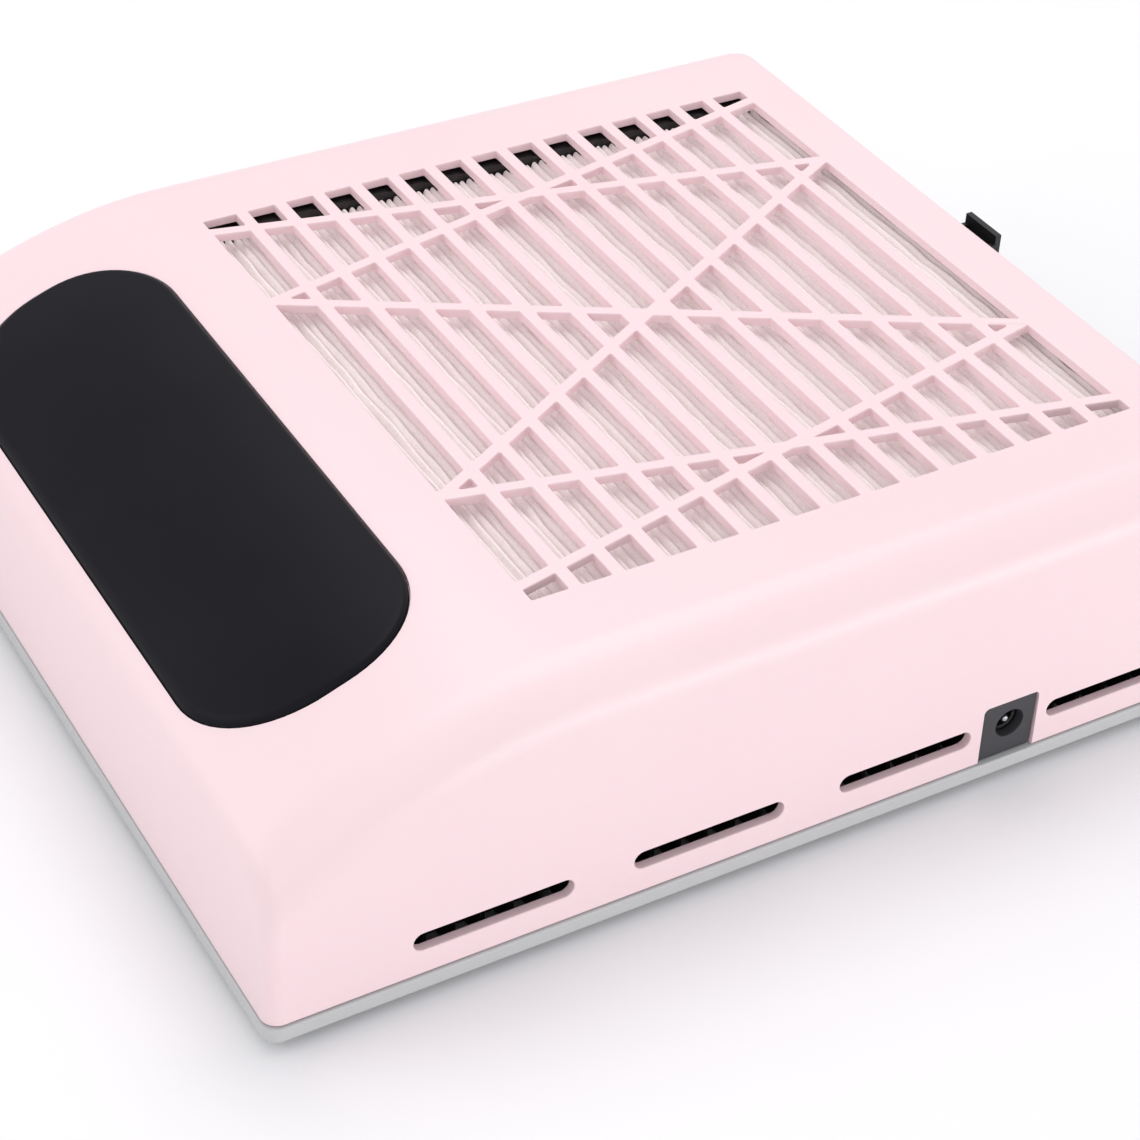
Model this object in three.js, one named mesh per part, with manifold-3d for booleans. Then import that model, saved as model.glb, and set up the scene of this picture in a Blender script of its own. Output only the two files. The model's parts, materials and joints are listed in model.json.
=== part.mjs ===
// Desktop nail dust collector: a low square suction box with a sloping hand rest at the front,
// an open grille over a pleated filter drawer, and a radial fan that blows out of the side vents.
// Millimetres. +X is the side with the power socket, -Y the user's side, +Z up. The origin is on
// the table under the middle of the whole object, pull tab included.
import * as THREE from 'three';
import { mergeVertices } from 'three/addons/utils/BufferGeometryUtils.js';
import Module from 'manifold-3d';

const wasm = await Module();
wasm.setup();

// ---------------------------------------------------------------- driving dimensions
const fitGap = 0.3;
const footHeight = 2.5;
const bodyWidth = 248;
const bodyLength = 267;
const bodyHeight = 71;
const tabReach = 6;
const baseFront = -(bodyLength + tabReach) / 2;
const baseBack = baseFront + bodyLength;

const shell = {
  inset: 0.6, wall: 2.4, bottom: 4.8, draft: Math.tan(1.75 * Math.PI / 180), lengthDraft: 0.4,
  shoulder: 15, backEdge: 1.5, corner: 4,
  slopeStart: 80.1, slopeEnd: 5.8, slopeRate: 0.00412,
};
const base = { floor: 2.2, rim: 4.5, corner: 4, ribInset: 3.6, ribWall: 1.8, ribTop: 8.2, ribCorner: 2.8 };

const grille = {
  y: baseFront + 166.1, halfX: 89.8, slots: 15, slot: 7.78, endSlot: 9.43, bar: 3.47,
  rib: 3.1, nodes: [0.032, 0.241, 0.759, 0.968],
  ribs: [[0, 1], [1, 0], [1, 2], [2, 1], [2, 3], [3, 2]],
};
const pad = { halfX: 88, front: 7.5, back: 62.1, corner: 25, recess: 1, proud: 1.3 };
const vent = {
  z: 14.3, high: 5, long: 40.5, pitch: 56.3, first: baseFront + 56.2, count: 4,
  finPitch: 7.35, finThick: 1.2, finBack: 15.3, finTop: 20.4, strip: 2.4,
};
const power = {
  y: baseFront + 198.05, z: 14.2, plateHalf: 8, plateTop: 21.5, clear: 3.5, face: 1.3, plate: 2.6,
};

const frame = { halfX: 94, lip: 6.2, endLip: 5, front: 94, bottom: 47.5, split: 57.3, top: 67.5, wall: 1.8 };
const media = { halfX: 87.4, halfY: 88.6, bottom: 49.8, top: 66, pleats: 25, sheet: 4 };
const tab = { halfX: 6.8, shelf: 63, thick: 2, lipTop: 69.2, lip: 1.8, rim: 1.4 };

const deck = { halfX: 106, front: 97, back: 95, bottom: 42.5, top: 44.5, wallTop: 67.4, wall: 1.8 };
const deckPost = { x: 101.5, y: 80, r: 4.5 };
const shellPost = { x: 112.3, front: baseFront + 15.5, back: baseBack - 9.5, r: 4, rise: 0.5, holeDeep: 13 };

const fan = {
  inlet: 50, lip: 1.6, radius: 66, blades: 16, bladeInner: 38, bladeThick: 1.5,
  bottom: 13, plate: 1.6, top: 38, hub: 24.3,
};
const motor = {
  plateR: 35, plateBottom: 7.3, plateTop: 9.3, tubeR: 8, tubeTop: 29, bearingR: 5.5, bearingHigh: 4,
  shaftR: 2.5, running: 0.05, screwRing: 28, poles: 9, coreBottom: 14.2, coreTop: 24.2,
};
const screw = { shaft: 1.5, head: 2.8, headHigh: 1.8, hole: 1.8 };
const foot = { r: 7, x: 100, front: baseFront + 24, back: baseBack - 22, recess: 0.8 };
const board = { x: 78, y: grille.y + 77.5, halfX: 16, halfY: 13, bottom: 8, thick: 1.6 };

// ---------------------------------------------------------------- finishes
function finish(colour, roughness, metalness = 0) {
  return new THREE.MeshStandardMaterial({ color: colour, roughness, metalness });
}
const finishes = {
  pinkShell: () => finish(0xf7dcdf, 0.38),
  greyBase: () => finish(0xb4b6b6, 0.5),
  blackPlastic: () => finish(0x17171a, 0.45),
  darkPlate: () => finish(0x46464a, 0.5),
  softPad: () => finish(0x242328, 0.42),
  filterCloth: () => finish(0xe9dcd8, 0.95),
  foam: () => finish(0x2b2b2e, 0.95),
  rubber: () => finish(0x1c1c1e, 0.85),
  fanPlastic: () => finish(0xd9d9d6, 0.5),
  steel: () => finish(0xb9bcc0, 0.35, 1),
  aluminium: () => finish(0xa9adb2, 0.45, 1),
  magnet: () => finish(0x3a3b3e, 0.6, 0.6),
  copper: () => finish(0xb46a35, 0.4, 1),
  circuitBoard: () => finish(0x1f5a3a, 0.55),
  leadJacket: () => finish(0x202022, 0.6),
};

// ---------------------------------------------------------------- solids
function signedVolume(geometry) {
  const spots = geometry.attributes.position;
  const a = new THREE.Vector3();
  const b = new THREE.Vector3();
  const c = new THREE.Vector3();
  let total = 0;
  for (let i = 0; i < geometry.index.count; i += 3) {
    a.fromBufferAttribute(spots, geometry.index.getX(i));
    b.fromBufferAttribute(spots, geometry.index.getX(i + 1));
    c.fromBufferAttribute(spots, geometry.index.getX(i + 2));
    total += a.dot(b.cross(c));
  }
  return total;
}

function toSolid(geometry) {
  const bare = geometry.clone();
  bare.deleteAttribute('normal');
  bare.deleteAttribute('uv');
  const merged = mergeVertices(bare, 1e-4);
  const triVerts = new Uint32Array(merged.index.array);
  if (signedVolume(merged) < 0) triVerts.reverse();
  const vertProperties = new Float32Array(merged.attributes.position.array);
  return new wasm.Manifold(new wasm.Mesh({ numProp: 3, vertProperties, triVerts }));
}

function toGeometry(solid) {
  const mesh = solid.getMesh();
  const geometry = new THREE.BufferGeometry();
  geometry.setAttribute('position', new THREE.BufferAttribute(mesh.vertProperties, 3));
  geometry.setIndex(new THREE.BufferAttribute(mesh.triVerts, 1));
  geometry.computeVertexNormals();
  return geometry;
}

const joined = (solids) => solids.reduce((whole, piece) => whole.add(piece));
const without = (solid, cutters) => cutters.reduce((left, cutter) => left.subtract(cutter), solid);

function block([x0, x1], [y0, y1], [z0, z1]) {
  const geometry = new THREE.BoxGeometry(x1 - x0, y1 - y0, z1 - z0);
  return toSolid(geometry.translate((x0 + x1) / 2, (y0 + y1) / 2, (z0 + z1) / 2));
}

function outline(halfX, halfY, corner, midX = 0, midY = 0) {
  const path = new THREE.Shape();
  path.absarc(midX + halfX - corner, midY - halfY + corner, corner, -Math.PI / 2, 0);
  path.absarc(midX + halfX - corner, midY + halfY - corner, corner, 0, Math.PI / 2);
  path.absarc(midX - halfX + corner, midY + halfY - corner, corner, Math.PI / 2, Math.PI);
  path.absarc(midX - halfX + corner, midY - halfY + corner, corner, Math.PI, Math.PI * 1.5);
  return path;
}

function extruded(path, depth, curveSegments) {
  return new THREE.ExtrudeGeometry(path, { depth, curveSegments, bevelEnabled: false });
}

// Extruded upwards, from z0 to z1.
function upright(path, z0, z1, curveSegments = 5) {
  return toSolid(extruded(path, z1 - z0, curveSegments).translate(0, 0, z0));
}

// A path drawn in Y and Z, extruded along X from x0 to x1.
const sideways = new THREE.Matrix4().makeBasis(
  new THREE.Vector3(0, 1, 0), new THREE.Vector3(0, 0, 1), new THREE.Vector3(1, 0, 0));
function across(path, x0, x1, curveSegments = 5) {
  return toSolid(extruded(path, x1 - x0, curveSegments).applyMatrix4(sideways).translate(x0, 0, 0));
}

function rod(radius, z0, z1, x = 0, y = 0, sides = 16) {
  const geometry = new THREE.CylinderGeometry(radius, radius, z1 - z0, sides);
  return toSolid(geometry.rotateX(Math.PI / 2).translate(x, y, (z0 + z1) / 2));
}

function crossRod(radius, x0, x1, y, z, sides = 16) {
  const geometry = new THREE.CylinderGeometry(radius, radius, x1 - x0, sides);
  return toSolid(geometry.rotateZ(Math.PI / 2).translate((x0 + x1) / 2, y, z));
}

// A profile of [radius, height] points turned about Z. It starts and ends on the axis or closes.
function turned(profile, segments = 20) {
  const points = profile.map(([r, z]) => new THREE.Vector2(r, z));
  return toSolid(new THREE.LatheGeometry(points, segments).rotateX(Math.PI / 2));
}

function ring(inner, outer, z0, z1, segments = 20) {
  return turned([[inner, z0], [outer, z0], [outer, z1], [inner, z1], [inner, z0]], segments);
}

// ---------------------------------------------------------------- the casing's outer form
const shellHalfX = bodyWidth / 2 - shell.inset;
const shellFront = baseFront + shell.inset;
const shellBack = baseBack - shell.inset;

// The top line seen from the side: [y, z, outward normal y, outward normal z] from front to back.
function topLine() {
  const line = [];
  const slopeEnd = baseFront + shell.slopeEnd;
  const slopeStart = baseFront + shell.slopeStart;
  const fall = (y) => shell.slopeRate * (slopeStart - y) ** 2;
  const tilt = Math.atan(2 * shell.slopeRate * (slopeStart - slopeEnd));
  const edge = (slopeEnd - shellFront) / (1 - Math.sin(tilt));
  const edgeZ = bodyHeight - fall(slopeEnd) - edge * Math.cos(tilt);
  const edgeSteps = 6;
  for (let i = 0; i < edgeSteps; i += 1) {
    const angle = Math.PI / 2 + (tilt - Math.PI / 2) * i / edgeSteps;
    const [ny, nz] = [-Math.sin(angle), Math.cos(angle)];
    line.push([shellFront + edge + edge * ny, edgeZ + edge * nz, ny, nz]);
  }
  const slopeSteps = 8;
  for (let i = 0; i <= slopeSteps; i += 1) {
    const y = slopeEnd + (slopeStart - slopeEnd) * i / slopeSteps;
    const angle = Math.atan(2 * shell.slopeRate * (slopeStart - y));
    line.push([y, bodyHeight - fall(y), -Math.sin(angle), Math.cos(angle)]);
  }
  line.push([shellBack - shell.corner, bodyHeight, 0, 1]);
  const backSteps = 4;
  for (let i = 0; i <= backSteps; i += 1) {
    const angle = Math.PI / 2 * i / backSteps;
    const [ny, nz] = [Math.sin(angle), Math.cos(angle)];
    line.push([shellBack + shell.backEdge * (ny - 1), bodyHeight + shell.backEdge * (nz - 1), ny, nz]);
  }
  return line;
}

// Half of the width at a place along Y, with the upright corners rounded in plan.
function halfWidthAt(y, inset) {
  const corner = Math.max(shell.corner - inset, 0.5);
  const toEnd = Math.min(y - shellFront, shellBack - y) - inset;
  const into = Math.max(corner - toEnd, 0);
  return shellHalfX - inset - corner + Math.sqrt(Math.max(corner ** 2 - into ** 2, 0));
}

// The closed form of the casing, its walls moved inwards by inset and its floor at bottom.
function casingForm(inset, bottom = shell.bottom) {
  const shoulderSteps = 5;
  const middle = (shellFront + shellBack) / 2;
  const positions = [];
  const rows = topLine().map(([y, z, ny, nz]) => [y - inset * ny, z - inset * nz]);
  const shoulder = shell.shoulder - inset;
  const ringPoints = (y, top) => {
    const half = halfWidthAt(y, inset);
    const points = [[half, bottom]];
    for (let i = 0; i <= shoulderSteps; i += 1) {
      const angle = Math.PI / 2 * i / shoulderSteps;
      const [out, up] = [shoulder * Math.cos(angle), shoulder * Math.sin(angle)];
      points.push([half - shoulder + out, top - shoulder + up]);
    }
    return points.concat(points.map(([x, z]) => [-x, z]).reverse());
  };
  rows.forEach(([y, top]) => {
    ringPoints(y, top).forEach(([x, z]) => {
      const rise = (z - shell.bottom) * shell.draft;
      const lengthwise = 1 - shell.lengthDraft * rise / (shellBack - middle);
      positions.push(x * (1 - rise / shellHalfX), middle + (y - middle) * lengthwise, z);
    });
  });
  const around = 2 * (shoulderSteps + 2);
  const faces = [];
  for (let row = 0; row + 1 < rows.length; row += 1) {
    for (let i = 0; i < around; i += 1) {
      const a = row * around + i;
      const b = row * around + (i + 1) % around;
      faces.push(a, b, b + around, a, b + around, a + around);
    }
  }
  const last = (rows.length - 1) * around;
  for (let i = 1; i + 1 < around; i += 1) {
    faces.push(0, i + 1, i, last, last + i, last + i + 1);
  }
  const geometry = new THREE.BufferGeometry();
  geometry.setAttribute('position', new THREE.Float32BufferAttribute(positions, 3));
  geometry.setIndex(faces);
  return toSolid(geometry);
}

// ---------------------------------------------------------------- casing
function grilleCutter() {
  const deep = [bodyHeight - shell.wall - 1, bodyHeight + 1];
  const cuts = [];
  const slotWidths = Array.from({ length: grille.slots }, (_, i) => (
    i === 0 || i === grille.slots - 1 ? grille.endSlot : grille.slot));
  const whole = slotWidths.reduce((sum, width) => sum + width + grille.bar, -grille.bar);
  let y = grille.y - whole / 2;
  slotWidths.forEach((width) => {
    cuts.push(block([-grille.halfX, grille.halfX], [y, y + width], deep));
    y += width + grille.bar;
  });
  const nodeX = grille.nodes.map((share) => (2 * share - 1) * grille.halfX);
  const ribs = grille.ribs.map(([near, far]) => {
    const run = new THREE.Vector2(nodeX[far] - nodeX[near], whole);
    const strip = new THREE.BoxGeometry(grille.rib, run.length() + grille.rib, deep[1] - deep[0]);
    strip.rotateZ(run.angle() - Math.PI / 2);
    return toSolid(strip.translate((nodeX[near] + nodeX[far]) / 2, grille.y, (deep[0] + deep[1]) / 2));
  });
  return joined(cuts).subtract(joined(ribs));
}

function padOutline(grow) {
  const [front, back] = [baseFront + pad.front, baseFront + pad.back];
  return outline(pad.halfX + grow, (back - front) / 2 + grow, pad.corner + grow, 0, (front + back) / 2);
}

function ventRuns() {
  const runs = [];
  for (let i = 0; i < vent.count; i += 1) {
    const middle = vent.first + i * vent.pitch;
    let [low, high] = [middle - vent.long / 2, middle + vent.long / 2];
    if (middle < power.y) high = Math.min(high, power.y - power.plateHalf - power.clear);
    else low = Math.max(low, power.y + power.plateHalf + power.clear);
    runs.push([low, high]);
  }
  return runs;
}

function ventCutters() {
  const outer = bodyWidth / 2 + 1;
  return ventRuns().flatMap(([low, high]) => {
    const path = outline((high - low) / 2, vent.high / 2, vent.high / 2 - 0.01, (low + high) / 2, vent.z);
    return [across(path, outer - 8, outer, 3), across(path, -outer, 8 - outer, 3)];
  });
}

const posts = [-1, 1].flatMap((side) => (
  [shellPost.front, shellPost.back].map((y) => [side * shellPost.x, y])));

function makeTopShell() {
  const above = bodyHeight + 5;
  const outer = casingForm(0);
  const postTop = casingForm(shell.wall / 2);
  const postFoot = shell.bottom + shellPost.rise;
  const pillars = posts.map(([x, y]) => rod(shellPost.r, postFoot, above, x, y, 8).intersect(postTop));
  const pillarHoles = posts.map(([x, y]) => (
    rod(screw.hole, shell.bottom, shell.bottom + shellPost.holeDeep, x, y, 6)));
  const hollow = casingForm(shell.wall, shell.bottom - 5);
  const walls = joined([outer.subtract(hollow), ...pillars]);
  const recess = upright(padOutline(fitGap), 20, above, 6).subtract(casingForm(pad.recess, 0));
  const drawerOpening = block(
    [-frame.halfX - 2 * fitGap, frame.halfX + 2 * fitGap], [shellBack - 10, shellBack + 5],
    [frame.bottom - 0.5, frame.top + 2 * fitGap]);
  const notchHalfZ = 20;
  const notch = outline(
    power.plateHalf + fitGap, notchHalfZ, 1.5, power.y, power.plateTop + fitGap - notchHalfZ);
  const jackNotch = across(notch, shellHalfX - 8, shellHalfX + 5, 2);
  const switchHole = block(
    [-shellHalfX - 5, -shellHalfX + 8], [power.y - 6.9, power.y + 6.9], [power.z - 4.7, power.z + 4.7]);
  return without(walls, [
    grilleCutter(), recess, drawerOpening, jackNotch, switchHole, ...ventCutters(), ...pillarHoles,
  ]);
}

function makeHandRestPad() {
  const skin = casingForm(-pad.proud, 0).subtract(casingForm(pad.recess - fitGap, -5));
  return upright(padOutline(0), 20, bodyHeight + 5, 6).intersect(skin);
}

const deckPosts = [-1, 1].flatMap((x) => [-1, 1].map((y) => [x * deckPost.x, grille.y + y * deckPost.y]));
const motorPosts = [45, 135, 225, 315].map((degrees) => {
  const angle = degrees * Math.PI / 180;
  return [motor.screwRing * Math.cos(angle), grille.y + motor.screwRing * Math.sin(angle)];
});
const boardPosts = [-1, 1].map((end) => (
  [board.x + end * (board.halfX - 3), board.y + end * (board.halfY - 3)]));
const feet = [-1, 1].flatMap((side) => [foot.front, foot.back].map((y) => [side * foot.x, y]));

function makeBasePlate() {
  const middle = (baseFront + baseBack) / 2;
  const plan = (inset) => outline(
    bodyWidth / 2 - inset, bodyLength / 2 - inset, Math.max(base.corner - inset, base.ribCorner), 0, middle);
  const tray = upright(plan(0), 0, base.rim).add(upright(plan(base.ribInset), base.floor, base.ribTop, 2));
  const pocket = upright(plan(base.ribInset + base.ribWall), base.floor, base.ribTop + 1, 2);
  const jackGap = block([bodyWidth / 2 - 9, bodyWidth / 2 - base.ribInset + 1],
    [power.y - power.plateHalf - 0.6, power.y + power.plateHalf + 0.6], [base.rim, base.ribTop + 1]);
  const bosses = [
    ...posts.map(([x, y]) => rod(5.2, 1, 5, x, y, 8)),
    ...deckPosts.map(([x, y]) => rod(deckPost.r, 1, deck.bottom - fitGap, x, y, 8)),
    ...motorPosts.map(([x, y]) => rod(5, 1, 4.4, x, y, 8)),
    ...boardPosts.map(([x, y]) => rod(3.2, 1, board.bottom - fitGap, x, y, 8)),
  ];
  const holes = [
    ...posts.map(([x, y]) => rod(screw.hole, -1, 6, x, y, 6)),
    ...posts.map(([x, y]) => rod(3.6, -1, 2.6, x, y, 10)),
    ...deckPosts.map(([x, y]) => rod(screw.hole, 30, deck.bottom, x, y, 6)),
    ...motorPosts.map(([x, y]) => rod(screw.hole, 1, 5, x, y, 6)),
    ...boardPosts.map(([x, y]) => rod(screw.hole, 2.6, board.bottom, x, y, 6)),
    ...feet.map(([x, y]) => rod(foot.r + fitGap, -1, foot.recess, x, y, 16)),
  ];
  return without(joined([tray.subtract(pocket), ...bosses]), [jackGap, ...holes]);
}

// A comb of upright fins behind the vents. They stand on the floor inside the base plate's rib
// and hang together by an upper and a lower strip.
function makeVentGuard(low, high) {
  const front = bodyWidth / 2 - base.ribInset - base.ribWall - fitGap;
  const back = bodyWidth / 2 - vent.finBack;
  const foot = base.floor + fitGap;
  const strips = [
    block([front - vent.strip, front], [low, high], [vent.finTop - vent.strip, vent.finTop]),
    block([back, back + vent.strip], [low, high], [foot, foot + vent.strip]),
  ];
  const room = high - low - vent.finThick;
  const gaps = Math.round(room / vent.finPitch);
  const fins = Array.from({ length: gaps + 1 }, (_, i) => {
    const start = low + room * i / gaps;
    return block([back, front], [start, start + vent.finThick], [foot, vent.finTop]);
  });
  return joined([...strips, ...fins]);
}

// ---------------------------------------------------------------- filter drawer
function frameBox(halfX, front, back, z0, z1) {
  return block([-halfX, halfX], [grille.y - front, back], [z0, z1]);
}

function makeUpperFrame() {
  const end = shellBack - 0.7;
  const inner = [frame.halfX - frame.lip, frame.front - frame.endLip];
  const outer = frameBox(frame.halfX, frame.front, end, frame.split, frame.top);
  const opening = frameBox(inner[0], inner[1], grille.y + inner[1], frame.split - 1, frame.top + 1);
  const channel = frameBox(frame.halfX - frame.wall, frame.front - frame.wall, end - frame.wall,
    frame.split - 1, frame.top - frame.wall);
  const tip = baseBack + tabReach;
  const tabX = [-tab.halfX, tab.halfX];
  const shelf = block(tabX, [end - 1, tip], [tab.shelf, tab.shelf + tab.thick]);
  const lip = block(tabX, [tip - tab.lip, tip], [tab.shelf, tab.lipTop]);
  const rims = [-1, 1].map((side) => {
    const spanX = [tab.halfX - tab.rim, tab.halfX].map((x) => side * x).sort((a, b) => a - b);
    return block(spanX, [end - 1, tip], [tab.shelf, tab.shelf + tab.thick + tab.rim]);
  });
  return joined([without(outer, [opening, channel]), shelf, lip, ...rims]);
}

function makeLowerFrame() {
  const end = shellBack - 0.7;
  const inner = [frame.halfX - frame.lip, frame.front - frame.lip];
  const top = frame.split - fitGap;
  const outer = frameBox(frame.halfX, frame.front, end, frame.bottom, top);
  const opening = frameBox(inner[0], inner[1], grille.y + inner[1], frame.bottom - 1, top + 1);
  const channel = frameBox(frame.halfX - frame.wall, frame.front - frame.wall, end - frame.wall,
    frame.bottom + frame.wall, top + 1);
  const bars = [-30, 30].map((x) => frameBox(2, frame.front - 2, grille.y + frame.front - 2,
    frame.bottom, frame.bottom + frame.wall).translate([x, 0, 0]));
  return joined([without(outer, [opening, channel]), ...bars]);
}

// One folded sheet, its pleats running across the drawer.
function makeFilterMedia() {
  const over = [];
  const under = [];
  const half = media.halfY / media.pleats;
  for (let i = 0; i <= 2 * media.pleats; i += 1) {
    const y = grille.y - media.halfY + i * half;
    const valley = i % 2 === 0;
    over.push(new THREE.Vector2(y, valley ? media.bottom + media.sheet : media.top));
    under.push(new THREE.Vector2(y, valley ? media.bottom : media.top - media.sheet));
  }
  return across(new THREE.Shape([...over, ...under.reverse()]), -media.halfX, media.halfX);
}

// ---------------------------------------------------------------- fan chamber
function makeFanDeck() {
  const walls = frame.halfX + 1 + deck.wall;
  const front = grille.y - deck.front;
  const back = grille.y + deck.back;
  const plate = block([-deck.halfX, deck.halfX], [front, back], [deck.bottom, deck.top]);
  const chamber = block([-walls, walls], [front, back], [deck.bottom, deck.wallTop]).subtract(
    block([-walls + deck.wall, walls - deck.wall], [front + deck.wall, back + 1],
      [deck.top, deck.wallTop + 1]));
  const mouth = ring(fan.inlet - 1, fan.inlet + fan.lip, deck.bottom - 3.2, deck.bottom + 1, 28);
  const inlet = rod(fan.inlet, deck.bottom - 10, deck.top + 1, 0, 0, 28);
  const holes = deckPosts.map(([x, y]) => rod(screw.hole, deck.bottom - 1, deck.top + 1, x, y, 6));
  const solid = joined([plate, chamber, mouth.translate([0, grille.y, 0])]);
  return without(solid, [inlet.translate([0, grille.y, 0]), ...holes]);
}

function makeFilterGasket() {
  const [outerIn, holeIn] = [1, 7];
  const foamTop = frame.bottom - fitGap;
  const outer = frameBox(frame.halfX - outerIn, frame.front - outerIn, grille.y + frame.front - outerIn,
    deck.top + fitGap, foamTop);
  const hole = frameBox(
    frame.halfX - holeIn, frame.front - holeIn, grille.y + frame.front - holeIn, deck.top, foamTop + 1);
  return outer.subtract(hole);
}

function makeInletGuard() {
  const z = [deck.top + fitGap, deck.top + fitGap + 1.4];
  const rings = [[52, 55], [26, 28.5]].map(([inner, outer]) => ring(inner, outer, ...z, 20));
  const spokes = [0, 45, 90, 135].map((degrees) => {
    const spoke = new THREE.BoxGeometry(2 * 53.5, 2, z[1] - z[0]).rotateZ(degrees * Math.PI / 180);
    return toSolid(spoke.translate(0, 0, (z[0] + z[1]) / 2));
  });
  return joined([...rings, ...spokes]);
}

// ---------------------------------------------------------------- impeller and motor
function bladePath() {
  const reach = fan.radius - 1;
  const sweep = 34 * Math.PI / 180;
  const steps = 3;
  const edge = (offset) => Array.from({ length: steps + 1 }, (_, i) => {
    const share = i / steps;
    const r = fan.bladeInner + (reach - fan.bladeInner) * share;
    const angle = -sweep * share ** 1.3;
    return new THREE.Vector2(r * Math.cos(angle), r * Math.sin(angle) + offset);
  });
  return new THREE.Shape([...edge(-fan.bladeThick / 2), ...edge(fan.bladeThick / 2).reverse()]);
}

function makeImpeller() {
  const plateTop = fan.bottom + fan.plate;
  const cap = 34.4;
  const disc = turned([
    [fan.hub, fan.bottom], [fan.radius, fan.bottom], [fan.radius, plateTop], [fan.hub + 8, plateTop],
    [fan.hub + 3, plateTop + 3], [fan.hub + 2, cap - 1], [fan.hub - 1, cap + 0.8], [fan.hub - 12, cap + 2],
    [0, cap + 2.4], [0, cap - 1], [fan.hub, cap - 1], [fan.hub, fan.bottom],
  ], 24);
  const shroud = turned([
    [fan.inlet + 2.4, fan.top - 1.4], [fan.radius, fan.top - 3.4], [fan.radius, fan.top - 2],
    [fan.inlet + 2.4, fan.top], [fan.inlet + 2.4, fan.top - 1.4],
  ], 24);
  const blade = upright(bladePath(), fan.bottom + 0.8, fan.top - 2.9);
  const blades = Array.from({ length: fan.blades }, (_, i) => blade.rotate([0, 0, i * 360 / fan.blades]));
  return joined([disc, shroud, ...blades]);
}

function makeRotorCup() {
  const [inner, outer] = [22.4, 24];
  const [low, top] = [fan.bottom - 0.8, 33];
  const bore = motor.shaftR + motor.running;
  return turned([
    [inner, low], [outer, low], [outer, top], [bore, top], [bore, top - 3.4], [bore + 2, top - 3.4],
    [bore + 3, top - 1.6], [inner, top - 1.6], [inner, low],
  ]);
}

function makeMotorMount() {
  const bore = motor.bearingR + motor.running;
  const stepR = 4.4;
  const shelfLow = motor.plateBottom + 1 + motor.bearingHigh;
  const shelfHigh = motor.tubeTop - motor.bearingHigh;
  const body = turned([
    [bore, motor.plateBottom], [motor.plateR, motor.plateBottom], [motor.plateR, motor.plateTop],
    [motor.tubeR, motor.plateTop], [motor.tubeR, motor.tubeTop], [bore, motor.tubeTop], [bore, shelfHigh],
    [stepR, shelfHigh], [stepR, shelfLow], [bore, shelfLow], [bore, motor.plateBottom],
  ]);
  const holes = motorPosts.map(([x, y]) => rod(screw.hole, 5, 12, x, y - grille.y, 6));
  return without(body, holes);
}

function makeBearing() {
  return ring(motor.shaftR + motor.running, motor.bearingR, 0, motor.bearingHigh - fitGap);
}

function statorPath(grow) {
  const path = new THREE.Shape();
  const step = 2 * Math.PI / motor.poles;
  const at = (r, angle) => [r * Math.cos(angle), r * Math.sin(angle)];
  for (let i = 0; i < motor.poles; i += 1) {
    const middle = i * step;
    const stem = [12, 18].map((r) => (1.6 + grow) / r);
    const shoe = step / 2 - 0.09 + grow / 20;
    const corners = [
      at(12 + grow, middle - stem[0]), at(18 - grow, middle - stem[1]), at(18.4 - grow, middle - shoe),
      at(19.8, middle - shoe), at(19.8, middle), at(19.8, middle + shoe), at(18.4 - grow, middle + shoe),
      at(18 - grow, middle + stem[1]), at(12 + grow, middle + stem[0]),
    ];
    corners.forEach(([x, y], k) => (i + k === 0 ? path.moveTo(x, y) : path.lineTo(x, y)));
  }
  path.closePath();
  return path;
}

function makeStatorCore() {
  const bore = rod(motor.tubeR + fitGap, 0, 40, 0, 0, 20);
  return upright(statorPath(0), motor.coreBottom, motor.coreTop).subtract(bore);
}

function makeWindings() {
  const coil = ring(12.6, 17.4, motor.coreBottom - 1.8, motor.coreTop + 1.8, 18);
  return coil.subtract(upright(statorPath(0.3), motor.coreBottom - 0.3, motor.coreTop + 0.3));
}

function makeShaft() {
  return rod(motor.shaftR, motor.plateBottom + 0.6, 32.6, 0, 0, 20);
}

// ---------------------------------------------------------------- fasteners, feet, electrics
// Head at z = 0 and above, shank below.
function makeScrew(length) {
  return rod(screw.head, 0, screw.headHigh, 0, 0, 10).add(rod(screw.shaft, -length, 0.2, 0, 0, 6));
}

function makeJackPlate() {
  const x = bodyWidth / 2 - power.face;
  const path = outline(power.plateHalf, (power.plateTop - shell.bottom) / 2, 1.2, power.y,
    (power.plateTop + shell.bottom) / 2);
  return across(path, x - power.plate, x, 2).subtract(crossRod(4, x - 5, x + 5, power.y + 0.5, power.z, 20));
}

function makeJackBody() {
  const x = bodyWidth / 2 - power.face - power.plate - fitGap;
  const shape = block([x - 12, x], [power.y - 5.5, power.y + 6.5], [power.z - 5.5, power.z + 5.5]);
  return shape.subtract(crossRod(3.2, x - 9.5, x + 1, power.y + 0.5, power.z, 20));
}

function makeJackPin() {
  const x = bodyWidth / 2 - power.face - power.plate - fitGap;
  return crossRod(1, x - 9.2, x + 1.4, power.y + 0.5, power.z, 12);
}

const rocker = { pivotX: -bodyWidth / 2 + 3.4, tilt: 8, halfY: 5.4, halfZ: 3.6, face: 2 };

function makeSwitchBody() {
  const outside = -bodyWidth / 2;
  const bezel = block(
    [outside + 0.05, outside + 0.65], [power.y - 7.5, power.y + 7.5], [power.z - 5.3, power.z + 5.3]);
  const body = block(
    [outside + 0.4, outside + 17], [power.y - 6.5, power.y + 6.5], [power.z - 4.4, power.z + 4.4]);
  const well = block([outside - 1, outside + 9], [power.y - 5.8, power.y + 5.8],
    [power.z - rocker.halfZ - fitGap, power.z + rocker.halfZ + fitGap]);
  return bezel.add(body).subtract(well);
}

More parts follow.
